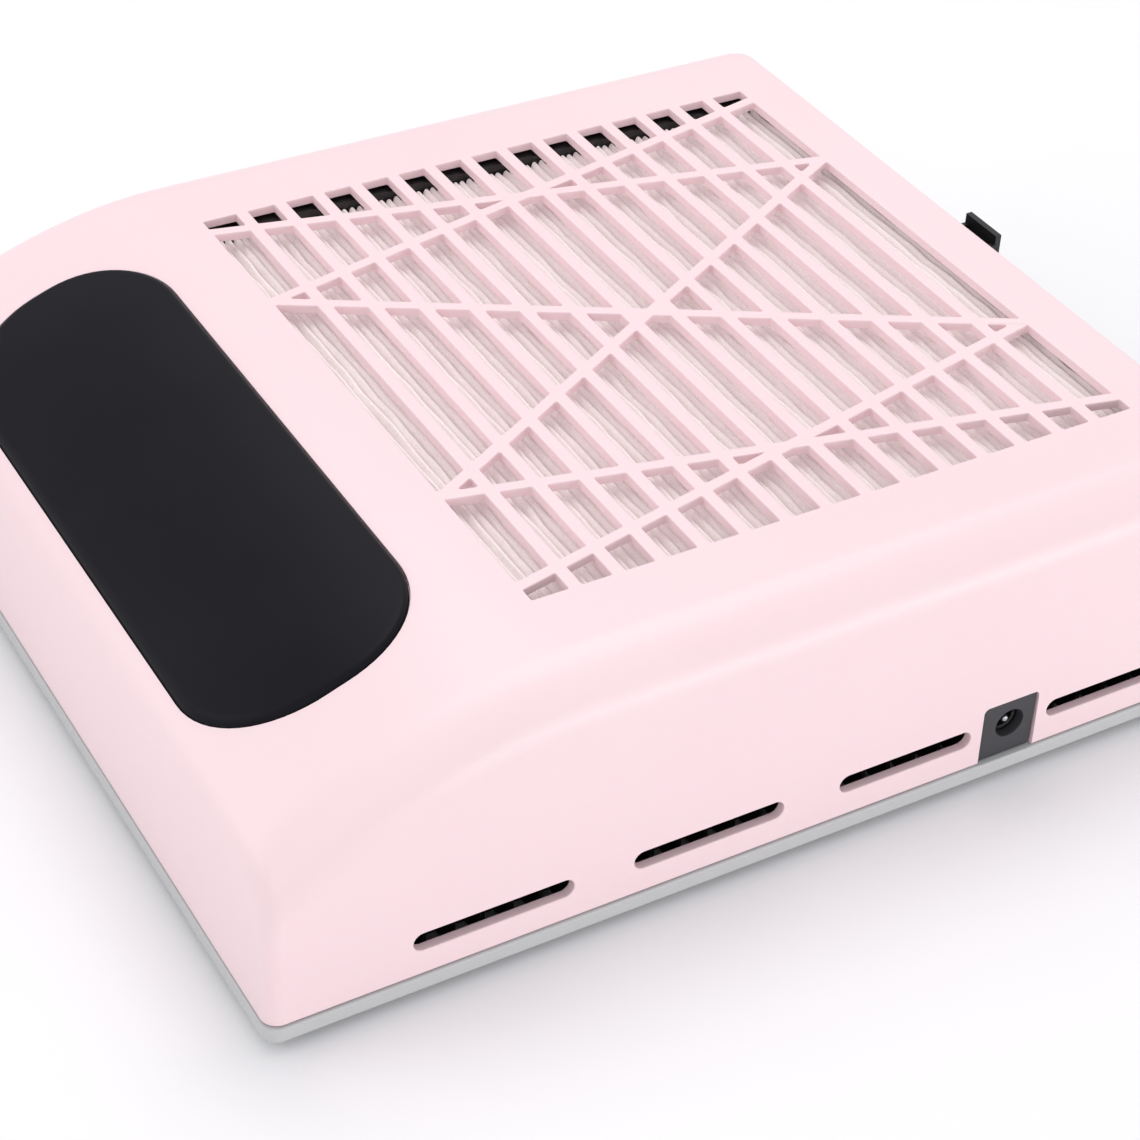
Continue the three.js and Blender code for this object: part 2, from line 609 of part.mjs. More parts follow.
// Drawn about its pivot: a shallow V face, seen from above.
function makeSwitchRocker() {
  const path = new THREE.Shape([
    new THREE.Vector2(-rocker.face - 0.2, -rocker.halfY), new THREE.Vector2(0.4, -rocker.halfY),
    new THREE.Vector2(3.4, 0), new THREE.Vector2(0.4, rocker.halfY),
    new THREE.Vector2(-rocker.face - 0.2, rocker.halfY), new THREE.Vector2(-rocker.face + 0.7, 0),
  ]);
  return upright(path, -rocker.halfZ, rocker.halfZ);
}

function makeControlBoard() {
  const top = board.bottom + board.thick;
  const slab = upright(outline(board.halfX, board.halfY, 1, board.x, board.y), board.bottom, top, 2);
  return without(slab, boardPosts.map(([x, y]) => rod(screw.hole, 0, top + 1, x, y, 6)));
}

function makeCapacitor() {
  const top = board.bottom + board.thick + fitGap;
  return rod(5, top, top + 13, board.x + 6, board.y - 4, 20);
}

function makeLeadSocket() {
  const top = board.bottom + board.thick + fitGap;
  const shape = block([board.x - 13, board.x - 3], [board.y - 3, board.y + 3], [top, top + 7]);
  return shape.subtract(block([board.x - 12, board.x - 4], [board.y - 2, board.y + 2], [top + 2, top + 8]));
}

function makeLead(points, radius = 1.4) {
  const route = new THREE.CatmullRomCurve3(points.map((point) => new THREE.Vector3(...point)));
  const section = new THREE.Shape().absarc(0, 0, radius, 0, Math.PI * 2);
  const steps = Math.ceil(route.getLength() / (radius * 8));
  return toSolid(new THREE.ExtrudeGeometry(section, { extrudePath: route, steps, curveSegments: 4 }));
}

const boardTop = board.bottom + board.thick;
const leads = {
  socket_lead: [[bodyWidth / 2 - 17, power.y + 1, power.z], [98, power.y + 2, 12], [93, power.y + 10, 12],
    [90, board.y - 20, boardTop + 4], [88, board.y - 10, boardTop + 3]],
  switch_lead: [[-bodyWidth / 2 + 18.5, power.y, power.z], [-96, power.y + 3, 8], [-88, power.y + 25, 5],
    [-60, board.y + 10, 4.5], [0, board.y + 14, 4.5], [40, board.y + 12, 4.5],
    [board.x - 21, board.y + 6, 9], [board.x - 15, board.y + 6, boardTop + 3]],
  motor_lead: [[24, grille.y + 32, 5], [34, grille.y + 48, 5], [46, board.y - 14, 5],
    [54, board.y - 8, 12], [board.x - 14, board.y - 2, boardTop + 11],
    [board.x - 8, board.y, boardTop + 9.2]],
};

// ---------------------------------------------------------------- assembly
const cabinet = new THREE.Group();
cabinet.position.z = footHeight;
const fanGroup = new THREE.Group();
fanGroup.position.y = grille.y;
cabinet.add(fanGroup);

function place(name, solid, material, parent = cabinet, [x, y, z] = [0, 0, 0]) {
  const mesh = new THREE.Mesh(toGeometry(solid), material());
  mesh.name = name;
  mesh.position.set(x, y, z);
  parent.add(mesh);
  return mesh;
}

place('top_shell', makeTopShell(), finishes.pinkShell);
place('base_plate', makeBasePlate(), finishes.greyBase);
place('hand_rest_pad', makeHandRestPad(), finishes.softPad);
feet.forEach(([x, y], i) => {
  place(`foot_${i + 1}`, rod(foot.r, -footHeight, foot.recess - fitGap), finishes.rubber, cabinet, [x, y, 0]);
});
const guardRuns = {
  front: [ventRuns()[0][0] - 3, power.y - power.plateHalf - 1],
  rear: [power.y + power.plateHalf + 1, ventRuns()[vent.count - 1][1] + 3],
};
Object.entries(guardRuns).forEach(([end, [low, high]]) => {
  const guard = makeVentGuard(low, high);
  place(`vent_guard_right_${end}`, guard, finishes.blackPlastic);
  place(`vent_guard_left_${end}`, guard.mirror([1, 0, 0]), finishes.blackPlastic);
});

place('filter_upper_frame', makeUpperFrame(), finishes.blackPlastic);
place('filter_lower_frame', makeLowerFrame(), finishes.blackPlastic);
place('filter_media', makeFilterMedia(), finishes.filterCloth);

place('fan_deck', makeFanDeck(), finishes.fanPlastic);
place('filter_gasket', makeFilterGasket(), finishes.foam);
place('inlet_guard', makeInletGuard(), finishes.steel, fanGroup);

place('impeller', makeImpeller(), finishes.fanPlastic, fanGroup);
place('rotor_cup', makeRotorCup(), finishes.steel, fanGroup);
place('rotor_magnet', ring(20.4, 22.1, 13.6, 26.5), finishes.magnet, fanGroup);
place('motor_shaft', makeShaft(), finishes.steel, fanGroup);
place('motor_mount', makeMotorMount(), finishes.aluminium, fanGroup);
place('lower_bearing', makeBearing(), finishes.steel, fanGroup, [0, 0, motor.plateBottom + 1]);
place('upper_bearing', makeBearing(), finishes.steel, fanGroup,
  [0, 0, motor.tubeTop - motor.bearingHigh + fitGap]);
place('stator_core', makeStatorCore(), finishes.steel, fanGroup);
place('stator_windings', makeWindings(), finishes.copper, fanGroup);
place('driver_board', ring(motor.tubeR + fitGap, 20, motor.plateTop + fitGap, motor.plateTop + 1.3),
  finishes.circuitBoard, fanGroup);

motorPosts.forEach(([x, y], i) => {
  place(`motor_isolator_${i + 1}`, ring(2, 5, 4.7, 7, 8), finishes.rubber, cabinet, [x, y, 0]);
  place(`motor_screw_${i + 1}`, makeScrew(7.5), finishes.steel, cabinet, [x, y, motor.plateTop + fitGap]);
});
deckPosts.forEach(([x, y], i) => {
  place(`deck_screw_${i + 1}`, makeScrew(10), finishes.steel, cabinet, [x, y, deck.top + fitGap]);
});
posts.forEach(([x, y], i) => {
  const mesh = place(`shell_screw_${i + 1}`, makeScrew(13), finishes.steel, cabinet, [x, y, 2.3]);
  mesh.rotation.x = Math.PI;
});

place('power_socket_plate', makeJackPlate(), finishes.darkPlate);
place('power_socket_body', makeJackBody(), finishes.blackPlastic);
place('power_socket_pin', makeJackPin(), finishes.steel);
place('switch_body', makeSwitchBody(), finishes.blackPlastic);
const switchRocker = place('switch_rocker', makeSwitchRocker(), finishes.blackPlastic, cabinet,
  [rocker.pivotX, power.y, power.z]);
switchRocker.rotation.z = -rocker.tilt * Math.PI / 180;

place('control_board', makeControlBoard(), finishes.circuitBoard);
place('board_capacitor', makeCapacitor(), finishes.blackPlastic);
place('motor_lead_socket', makeLeadSocket(), finishes.fanPlastic);
boardPosts.forEach(([x, y], i) => {
  place(`board_screw_${i + 1}`, makeScrew(6), finishes.steel, cabinet, [x, y, boardTop + fitGap]);
});
Object.entries(leads).forEach(([name, points]) => place(name, makeLead(points), finishes.leadJacket));

export default cabinet;
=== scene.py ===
# Desktop nail dust collector: fine surfaces, finishes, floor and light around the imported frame.
import json
import math

import bmesh
import bpy
import numpy as np
from mathutils import Matrix, Vector


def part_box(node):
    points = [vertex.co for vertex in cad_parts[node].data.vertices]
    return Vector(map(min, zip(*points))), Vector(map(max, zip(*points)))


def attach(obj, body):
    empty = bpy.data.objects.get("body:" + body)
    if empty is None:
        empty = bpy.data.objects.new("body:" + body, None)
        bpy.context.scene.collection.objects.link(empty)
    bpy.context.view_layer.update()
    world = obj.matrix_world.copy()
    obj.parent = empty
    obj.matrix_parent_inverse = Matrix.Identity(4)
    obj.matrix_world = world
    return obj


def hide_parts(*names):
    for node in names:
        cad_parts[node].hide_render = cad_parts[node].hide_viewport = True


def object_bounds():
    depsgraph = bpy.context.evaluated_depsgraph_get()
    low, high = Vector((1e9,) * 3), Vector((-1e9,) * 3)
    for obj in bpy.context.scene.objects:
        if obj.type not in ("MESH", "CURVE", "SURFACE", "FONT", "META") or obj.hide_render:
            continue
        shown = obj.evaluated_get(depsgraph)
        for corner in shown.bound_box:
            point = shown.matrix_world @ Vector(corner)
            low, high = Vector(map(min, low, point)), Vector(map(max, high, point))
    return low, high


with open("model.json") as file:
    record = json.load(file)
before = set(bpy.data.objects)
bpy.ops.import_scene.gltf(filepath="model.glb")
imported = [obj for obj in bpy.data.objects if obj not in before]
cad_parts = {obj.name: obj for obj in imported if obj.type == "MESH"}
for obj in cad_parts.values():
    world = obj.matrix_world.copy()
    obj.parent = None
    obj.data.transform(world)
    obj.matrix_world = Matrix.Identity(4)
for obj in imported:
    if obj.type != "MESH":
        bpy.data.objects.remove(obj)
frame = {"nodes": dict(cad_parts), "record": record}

cadLow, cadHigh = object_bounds()
mm = 0.001
bodyOf = {node: body for body, nodes in frame["record"]["behaviour"]["bodies"].items() for node in nodes}
slotOf = {row["node"]: row["material_slot"] for row in frame["record"]["subparts"]}
print("frame loaded:", len(frame["nodes"]), "nodes")


# shader maths: a socket that Python's operators work on

class Flow:
    def __init__(self, recipe, socket):
        self.recipe = recipe
        self.socket = socket

    def maths(self, left, right, operation):
        kinds = {part.socket.type for part in (left, right) if isinstance(part, Flow)}
        if "RGBA" in kinds:
            settings = {"data_type": "RGBA", "blend_type": operation}
            return self.recipe.node("ShaderNodeMix", settings, {0: 1.0, 6: left, 7: right}, 2)
        kind = "ShaderNodeVectorMath" if "VECTOR" in kinds else "ShaderNodeMath"
        return self.recipe.node(kind, {"operation": operation}, {0: left, 1: right})

    def __add__(self, other):
        return self.maths(self, other, "ADD")

    def __radd__(self, other):
        return self.maths(other, self, "ADD")

    def __sub__(self, other):
        return self.maths(self, other, "SUBTRACT")

    def __rsub__(self, other):
        return self.maths(other, self, "SUBTRACT")

    def __mul__(self, other):
        return self.maths(self, other, "MULTIPLY")

    def __rmul__(self, other):
        return self.maths(other, self, "MULTIPLY")


class Recipe:
    # one material: its nodes are added by name, its settings go in before its links
    def __init__(self, name, **constants):
        self.material = bpy.data.materials.new(name)
        self.material.use_nodes = True
        self.tree = self.material.node_tree
        self.shader = self.tree.nodes["Principled BSDF"]
        for label, value in constants.items():
            self.put(self.shader.inputs[label.replace("_", " ")], value)
        self.place = self.node("ShaderNodeTexCoord", {}, {}, "Object")

    def put(self, socket, value):
        if isinstance(value, Flow):
            self.tree.links.new(value.socket, socket)
        elif hasattr(socket.default_value, "__len__") and not hasattr(value, "__len__"):
            socket.default_value = [value] * 3 + [1.0] * (len(socket.default_value) - 3)
        elif hasattr(value, "__len__") and len(value) == 3 and len(socket.default_value) == 4:
            socket.default_value = (*value, 1.0)
        else:
            socket.default_value = value

    def node(self, kind, settings, inputs, output=0):
        made = self.tree.nodes.new(kind)
        for name, value in settings.items():
            if name == "stops":
                self.rampStops(made.color_ramp, value)
            else:
                setattr(made, name, value)
        for socket, value in inputs.items():
            self.put(made.inputs[socket], value)
        return Flow(self, made.outputs[output])

    def rampStops(self, ramp, stops):
        while len(ramp.elements) < len(stops):
            ramp.elements.new(0.5)
        for element, (position, shade) in zip(ramp.elements, stops):
            element.position = position
            element.color = (*shade, 1.0) if hasattr(shade, "__len__") else (shade, shade, shade, 1.0)

    def noise(self, scale, detail=2.0, rough=0.5, stretch=None):
        place = self.place if stretch is None else self.place * stretch
        inputs = {"Vector": place, "Scale": scale, "Detail": detail, "Roughness": rough}
        return self.node("ShaderNodeTexNoise", {}, inputs, "Fac")

    def ramp(self, factor, stops):
        return self.node("ShaderNodeValToRGB", {"stops": stops}, {"Fac": factor}, "Color")

    def finish(self, colour, roughness, height, bump, reach):
        self.put(self.shader.inputs["Base Color"], colour)
        self.put(self.shader.inputs["Roughness"], roughness)
        inputs = {"Strength": bump, "Distance": reach, "Height": height}
        self.put(self.shader.inputs["Normal"], self.node("ShaderNodeBump", {}, inputs))
        return self.material


# finishes

def mouldedPlastic(name, colour, roughness, spread=0.03, grain=0.06):
    # satin injection moulding: a fine spark-eroded grain, faint flow clouds, slow gloss changes
    recipe = Recipe(name, Specular_IOR_Level=0.45)
    cloud = recipe.noise(9.0, 3.0)
    shade = recipe.ramp(cloud, [(0.3, [c * (1 - spread) for c in colour]), (0.7, colour)])
    fine = recipe.noise(3200.0, 2.0, 0.6)
    slow = recipe.noise(24.0, 2.0)
    gloss = roughness - 0.03 + 0.06 * slow + 0.04 * fine
    return recipe.finish(shade, gloss, fine, grain, 0.05 * mm)


def paleShellPlastic():
    recipe = Recipe("palePinkShell", Specular_IOR_Level=0.5, Subsurface_Weight=0.06,
                    Subsurface_Radius=(1.0, 0.45, 0.4), Subsurface_Scale=0.0024)
    cloud = recipe.noise(7.0, 3.0)
    tint = recipe.ramp(cloud, [(0.3, (0.925, 0.708, 0.738)), (0.7, (0.94, 0.735, 0.762))])
    grain = recipe.noise(2600.0, 2.0, 0.55)
    sink = recipe.noise(14.0, 1.0)
    gloss = 0.29 + 0.06 * sink + 0.05 * grain
    return recipe.finish(tint, gloss, grain * 0.6 + sink * 0.9, 0.1, 0.08 * mm)


def restSkin():
    # smooth soft skin over foam: very fine pores, gloss a little uneven from hands
    recipe = Recipe("blackRestSkin", Specular_IOR_Level=0.1)
    pores = recipe.node("ShaderNodeTexVoronoi", {"feature": "SMOOTH_F1"},
                        {"Vector": recipe.place, "Scale": 1500.0, "Smoothness": 0.6}, "Distance")
    wear = recipe.noise(16.0, 4.0, 0.6)
    shade = recipe.ramp(wear, [(0.35, (0.0068, 0.0064, 0.0096)), (0.7, (0.0092, 0.0086, 0.0125))])
    return recipe.finish(shade, 0.34 + 0.1 * wear + 0.04 * pores, pores, 0.12, 0.06 * mm)


def nonwovenCloth():
    # pressed fibres: fine criss-cross strands, painted shade a little darker where the strands lie low, broad
    # random blotches; the pink tint is painted bounce light from the pink shell, and a faint pink emission is
    # a painted glow
    # the emission here is a painted glow: the cloth lights itself a little, in pink
    recipe = Recipe("pleatedNonwoven", Roughness=0.92, Specular_IOR_Level=0.2, Emission_Strength=0.07,
                    Emission_Color=(1.0, 0.86, 0.86))
    # the strands feed both the bump and the colour: where they lie low the cloth is painted darker, as
    # painted shade
    along = recipe.noise(1500.0, 3.0, 0.65, (0.25, 1.0, 1.0))
    over = recipe.noise(1100.0, 3.0, 0.65, (1.0, 0.3, 1.0))
    strandsAndPaintedShade = (along + over) * 0.5
    blotch = recipe.noise(60.0, 3.0)
    # painted light in the colour: the pink tint is painted bounce light from the pink shell, over pale cloth
    # with random blotches
    clothToneAndPaintedBounce = recipe.ramp(strandsAndPaintedShade * 0.7 + blotch * 0.3, [(0.36, (0.92, 0.835, 0.83)), (0.6, (0.985, 0.925, 0.92))])
    return recipe.finish(clothToneAndPaintedBounce, 0.92, strandsAndPaintedShade, 0.5, 0.25 * mm)


def softRubber(name, colour):
    recipe = Recipe(name, Specular_IOR_Level=0.3)
    fine = recipe.noise(1400.0, 4.0, 0.7)
    shade = recipe.ramp(recipe.noise(45.0, 3.0), [(0.3, [c * 0.8 for c in colour]), (0.7, colour)])
    return recipe.finish(shade, 0.78 + 0.1 * fine, fine, 0.25, 0.08 * mm)


def openFoam():
    recipe = Recipe("sealFoam", Roughness=0.95, Specular_IOR_Level=0.15)
    cells = recipe.node("ShaderNodeTexVoronoi", {}, {"Vector": recipe.place, "Scale": 900.0}, "Distance")
    # painted shade: the foam is darker along the low borders of its cells, where the bump sinks
    shade = recipe.ramp(cells, [(0.1, (0.05, 0.05, 0.054)), (0.6, (0.012, 0.012, 0.013))])
    return recipe.finish(shade, 0.95, 1 - cells, 0.8, 0.4 * mm)


def plainSteel():
    recipe = Recipe("plainSteel", Metallic=1.0)
    brushed = recipe.noise(700.0, 3.0, 0.6, (1.0, 1.0, 0.08))
    stain = recipe.noise(70.0, 3.0)
    shade = recipe.ramp(stain, [(0.3, (0.42, 0.43, 0.45)), (0.7, (0.58, 0.59, 0.6))])
    return recipe.finish(shade, 0.24 + 0.16 * brushed, brushed, 0.08, 0.05 * mm)


def castMetal():
    recipe = Recipe("castMotorMetal", Metallic=1.0)
    sand = recipe.noise(900.0, 4.0, 0.7)
    shade = recipe.ramp(recipe.noise(50.0, 2.0), [(0.3, (0.36, 0.38, 0.4)), (0.7, (0.46, 0.48, 0.5))])
    return recipe.finish(shade, 0.42 + 0.14 * sand, sand, 0.2, 0.08 * mm)


def ferrite():
    recipe = Recipe("bondedFerrite", Metallic=0.35)
    speck = recipe.noise(2000.0, 3.0, 0.7)
    shade = recipe.ramp(speck, [(0.35, (0.032, 0.033, 0.036)), (0.7, (0.07, 0.071, 0.076))])
    return recipe.finish(shade, 0.55 + 0.15 * speck, speck, 0.2, 0.06 * mm)


def enamelledCopper():
    # turns of wire: bands round the poles with a gloss lacquer over them, with painted shade darker in the
    # grooves between the turns
    recipe = Recipe("enamelledCopper", Metallic=1.0, Coat_Roughness=0.12, Coat_Weight=0.5)
    turns = recipe.node("ShaderNodeTexWave", {"wave_type": "BANDS", "bands_direction": "Z"},
                        {"Vector": recipe.place, "Scale": 420.0, "Distortion": 1.4, "Detail": 1.0}, "Fac")
    # the dark copper stop sits in the grooves between turns, where the bump is low: painted shade
    shade = recipe.ramp(turns, [(0.1, (0.2, 0.055, 0.018)), (0.7, (0.56, 0.2, 0.065))])
    return recipe.finish(shade, 0.3 + 0.1 * (1 - turns), turns, 0.5, 0.3 * mm)


def solderResist():
    recipe = Recipe("greenSolderResist", Coat_Roughness=0.2, Coat_Weight=0.3)
    tracks = recipe.node("ShaderNodeTexBrick", {"offset": 0.5, "squash": 1.0},
                         {"Vector": recipe.place, "Scale": 260.0, "Mortar Size": 0.03,
                          "Color1": (0.010, 0.085, 0.036, 1), "Color2": (0.014, 0.105, 0.045, 1),
                          "Mortar": (0.022, 0.15, 0.062, 1)}, "Color")
    fine = recipe.noise(1500.0, 2.0)
    return recipe.finish(tracks, 0.35 + 0.08 * fine, fine, 0.06, 0.04 * mm)


finishes = {
    "pink_shell": paleShellPlastic(),
    "grey_base": mouldedPlastic("lightGreyBase", (0.56, 0.565, 0.568), 0.42),
    "rest_pad": restSkin(),
    "black_plastic": mouldedPlastic("blackPlastic", (0.0115, 0.0112, 0.012), 0.4, 0.2, 0.12),
    "filter_cloth": nonwovenCloth(),
    "seal_foam": openFoam(),
    "rubber": softRubber("blackRubber", (0.018, 0.018, 0.019)),
    "fan_plastic": mouldedPlastic("offWhiteFanPlastic", (0.62, 0.62, 0.6), 0.45),
    "socket_plate": mouldedPlastic("darkGreySocketPlate", (0.045, 0.044, 0.05), 0.5, 0.12, 0.14),
    "steel": plainSteel(),
    "magnet": ferrite(),
    "motor_metal": castMetal(),
    "winding": enamelledCopper(),
    "circuit_board": solderResist(),
    "lead_jacket": mouldedPlastic("leadJacket", (0.014, 0.014, 0.015), 0.5, 0.2, 0.1),
}
for node, part in frame["nodes"].items():
    part.data.materials.clear()
    part.data.materials.append(finishes[slotOf[node]])
print("finishes made:", len(finishes))


# mesh helpers

def meshObject(name, vertices, faces):
    mesh = bpy.data.meshes.new(name)
    mesh.from_pydata([tuple(v) for v in vertices], [], faces)
    mesh.validate()
    piece = bpy.data.objects.new(name, mesh)
    bpy.context.scene.collection.objects.link(piece)
    return piece


def faceOut(piece):
    work = bmesh.new()
    work.from_mesh(piece.data)
    bmesh.ops.recalc_face_normals(work, faces=work.faces)
    work.to_mesh(piece.data)
    work.free()
    return piece


def loft(name, rings):
    # rings of equal count, joined in order, the two ends closed
    count = len(rings[0])
    faces = []
    for r in range(len(rings) - 1):
        for i in range(count):
            a, b = r * count + i, r * count + (i + 1) % count
            faces.append((a, b, b + count, a + count))
    faces.append(tuple(reversed(range(count))))
    faces.append(tuple(range((len(rings) - 1) * count, len(rings) * count)))
    return faceOut(meshObject(name, [p for ring in rings for p in ring], faces))


def joinAll(name, pieces):
    vertices, faces = [], []
    for piece in pieces:
        start = len(vertices)
        vertices += [v.co.copy() for v in piece.data.vertices]
        faces += [tuple(start + i for i in poly.vertices) for poly in piece.data.polygons]
        bpy.data.objects.remove(piece)
    return meshObject(name, vertices, faces)


def applyAll(piece):
    # the shape after its modifiers becomes the piece's own mesh
    graph = bpy.context.evaluated_depsgraph_get()
    mesh = bpy.data.meshes.new_from_object(piece.evaluated_get(graph))
    piece.modifiers.clear()
    piece.data = mesh
    return piece


def boolean(piece, other, operation="DIFFERENCE"):
    step = piece.modifiers.new("cut", "BOOLEAN")
    step.operation = operation
    step.solver = "MANIFOLD"
    step.object = other
    applyAll(piece)
    bpy.data.objects.remove(other)
    return piece


def smooth(piece, angle=32):
    piece.data.shade_smooth()
    piece.data.set_sharp_from_angle(angle=math.radians(angle))
    step = piece.modifiers.new("flat faces stay flat", "WEIGHTED_NORMAL")
    step.keep_sharp = True
    step.weight = 60
    return applyAll(piece)


def dress(piece, node, *others):
    # the piece stands for its CAD node, with that node's body and finish
    piece.data.materials.clear()
    piece.data.materials.append(finishes[slotOf[node]])
    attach(piece, bodyOf[node])
    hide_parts(node, *others)
    return piece


def roundedRing(corners, radius, grow, steps):
    # a convex outline with round corners, moved outwards by grow; corners run anticlockwise
    ring = []
    count = len(corners)
    for i in range(count):
        before = (corners[i] - corners[i - 1]).normalized()
        after = (corners[(i + 1) % count] - corners[i]).normalized()
        turn = math.atan2(before.cross(after), before.dot(after))
        inward = Vector((-before.y, before.x)) + Vector((-after.y, after.x))
        centre = corners[i] + inward * radius / (1 + math.cos(turn))
        start = math.atan2(-before.x, before.y)
        for k in range(steps + 1):
            angle = start + turn * k / steps
            ring.append(centre + (radius + grow) * Vector((math.cos(angle), math.sin(angle))))
    return ring


def rectangle(x0, x1, y0, y1):
    return [Vector((x0, y0)), Vector((x1, y0)), Vector((x1, y1)), Vector((x0, y1))]


def flaredCutter(corners, radius, flare, depth, place, steps=4, flareSteps=3):
    # a prism whose mouth opens with a small round edge; local z = 0 is the surface it cuts
    levels = [(0.0, -depth), (0.0, -flare)]
    for k in range(1, flareSteps + 1):
        angle = math.pi / 2 * k / flareSteps
        levels.append((flare * (1 - math.cos(angle)), flare * (math.sin(angle) - 1)))
    levels.append((flare, 1.5 * mm))
    rings = [[place @ Vector((p.x, p.y, z)) for p in roundedRing(corners, radius, grow, steps)]
             for grow, z in levels]
    return loft("cutter", rings)


def turned(name, profile, segments=64, centre=(0, 0, 0), axis="Z", closed=True):
    # radius and height pairs turned about an axis through centre
    rings = []
    for k in range(segments):
        angle = 2 * math.pi * k / segments
        ring = []
        for r, h in profile:
            u, v = r * math.cos(angle), r * math.sin(angle)
            spot = {"X": (h, u, v), "Y": (v, h, u), "Z": (u, v, h)}[axis]
            ring.append(Vector(centre) + Vector(spot))
        rings.append(ring)
    count = len(profile)
    faces = []
    for k in range(segments):
        for i in range(count if closed else count - 1):
            a, b = k * count + i, k * count + (i + 1) % count
            c, d = (b + count) % (segments * count), (a + count) % (segments * count)
            faces.append((a, b, c, d))
    piece = meshObject(name, [p for ring in rings for p in ring], faces)
    work = bmesh.new()
    work.from_mesh(piece.data)
    bmesh.ops.remove_doubles(work, verts=work.verts, dist=1e-6)
    bmesh.ops.recalc_face_normals(work, faces=work.faces)
    work.to_mesh(piece.data)
    work.free()
    return piece


def roundedProfile(points, radius, steps=4):
    # a closed profile whose corners are rounded off; radius is one value or one for each point
    radii = radius if hasattr(radius, "__len__") else [radius] * len(points)
    done = []
    count = len(points)
    for i in range(count):
        here = Vector(points[i])
        if radii[i] == 0:
            done.append(tuple(here))
            continue
        before, after = Vector(points[i - 1]) - here, Vector(points[(i + 1) % count]) - here
        half = before.angle(after) / 2
        reach = min(radii[i] / math.tan(half), before.length * 0.49, after.length * 0.49)
        start, end = here + before.normalized() * reach, here + after.normalized() * reach
        for k in range(steps + 1):
            t = k / steps
            done.append(tuple((1 - t) ** 2 * start + 2 * t * (1 - t) * here + t ** 2 * end))
    return done


# casing form

shellLow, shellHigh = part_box("top_shell")
baseLow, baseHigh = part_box("base_plate")
baseZ = baseLow.z
topZ = shellHigh.z

casing = {
    "halfX": shellHigh.x, "front": shellLow.y, "back": baseHigh.y - 0.6 * mm, "bottom": shellLow.z,
    "wall": 2.4 * mm, "draft": math.tan(math.radians(1.75)), "lengthDraft": 0.4,
    "shoulder": 15 * mm, "backEdge": 1.5 * mm, "corner": 4 * mm,
    "slopeStart": baseLow.y + 80.1 * mm, "slopeEnd": baseLow.y + 5.8 * mm, "slopeRate": 4.12,
    "edgeSteps": 18, "slopeSteps": 30, "backSteps": 8, "shoulderSteps": 16, "post": 4 * mm,
}


def centreOf(node):
    low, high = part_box(node)
    return (low + high) / 2


def fallAt(y):
    return casing["slopeRate"] * max(casing["slopeStart"] - y, 0) ** 2


def topLine():
    # the top seen from the side, front to back: y, z and the outward normal
    line = []
    slopeStart, slopeEnd, front, back = (casing[k] for k in ("slopeStart", "slopeEnd", "front", "back"))
    tilt = math.atan(2 * casing["slopeRate"] * (slopeStart - slopeEnd))
    edge = (slopeEnd - front) / (1 - math.sin(tilt))
    edgeZ = topZ - fallAt(slopeEnd) - edge * math.cos(tilt)
    for i in range(casing["edgeSteps"]):
        angle = math.pi / 2 + (tilt - math.pi / 2) * i / casing["edgeSteps"]
        ny, nz = -math.sin(angle), math.cos(angle)
        line.append((front + edge + edge * ny, edgeZ + edge * nz, ny, nz))
    for i in range(casing["slopeSteps"] + 1):
        y = slopeEnd + (slopeStart - slopeEnd) * i / casing["slopeSteps"]
        angle = math.atan(2 * casing["slopeRate"] * (slopeStart - y))
        line.append((y, topZ - fallAt(y), -math.sin(angle), math.cos(angle)))
    line.append((back - casing["corner"], topZ, 0.0, 1.0))
    for i in range(casing["backSteps"] + 1):
        angle = math.pi / 2 * i / casing["backSteps"]
        ny, nz = math.sin(angle), math.cos(angle)
        line.append((back + casing["backEdge"] * (ny - 1), topZ + casing["backEdge"] * (nz - 1), ny, nz))
    return line


def halfWidthAt(y, inset):
    corner = max(casing["corner"] - inset, 0.5 * mm)
    toEnd = min(y - casing["front"], casing["back"] - y) - inset
    into = max(corner - toEnd, 0.0)
    return casing["halfX"] - inset - corner + math.sqrt(max(corner ** 2 - into ** 2, 0.0))


def casingForm(name, inset, bottom, foot=0.0):
    # closed form of the casing moved inwards by inset; foot rounds its lower outer edge
    middle = (casing["front"] + casing["back"]) / 2
    halfY = casing["back"] - middle
    shoulder = casing["shoulder"] - inset
    rings = []
    for y, z, ny, nz in topLine():
        y, top = y - inset * ny, z - inset * nz
        half = halfWidthAt(y, inset)
        side = [(half - foot, bottom)] if foot else []
        side += [(half, bottom + foot)]
        for i in range(casing["shoulderSteps"] + 1):
            angle = math.pi / 2 * i / casing["shoulderSteps"]
            out, up = shoulder * math.cos(angle), shoulder * math.sin(angle)
            side.append((half - shoulder + out, top - shoulder + up))
        ring = side + [(-x, z) for x, z in reversed(side)]
        placed = []
        for x, z in ring:
            rise = (z - casing["bottom"]) * casing["draft"]
            lengthwise = 1 - casing["lengthDraft"] * rise / halfY
            placed.append(Vector((x * (1 - rise / casing["halfX"]), middle + (y - middle) * lengthwise, z)))
        rings.append(placed)
    return loft(name, rings)


# top shell

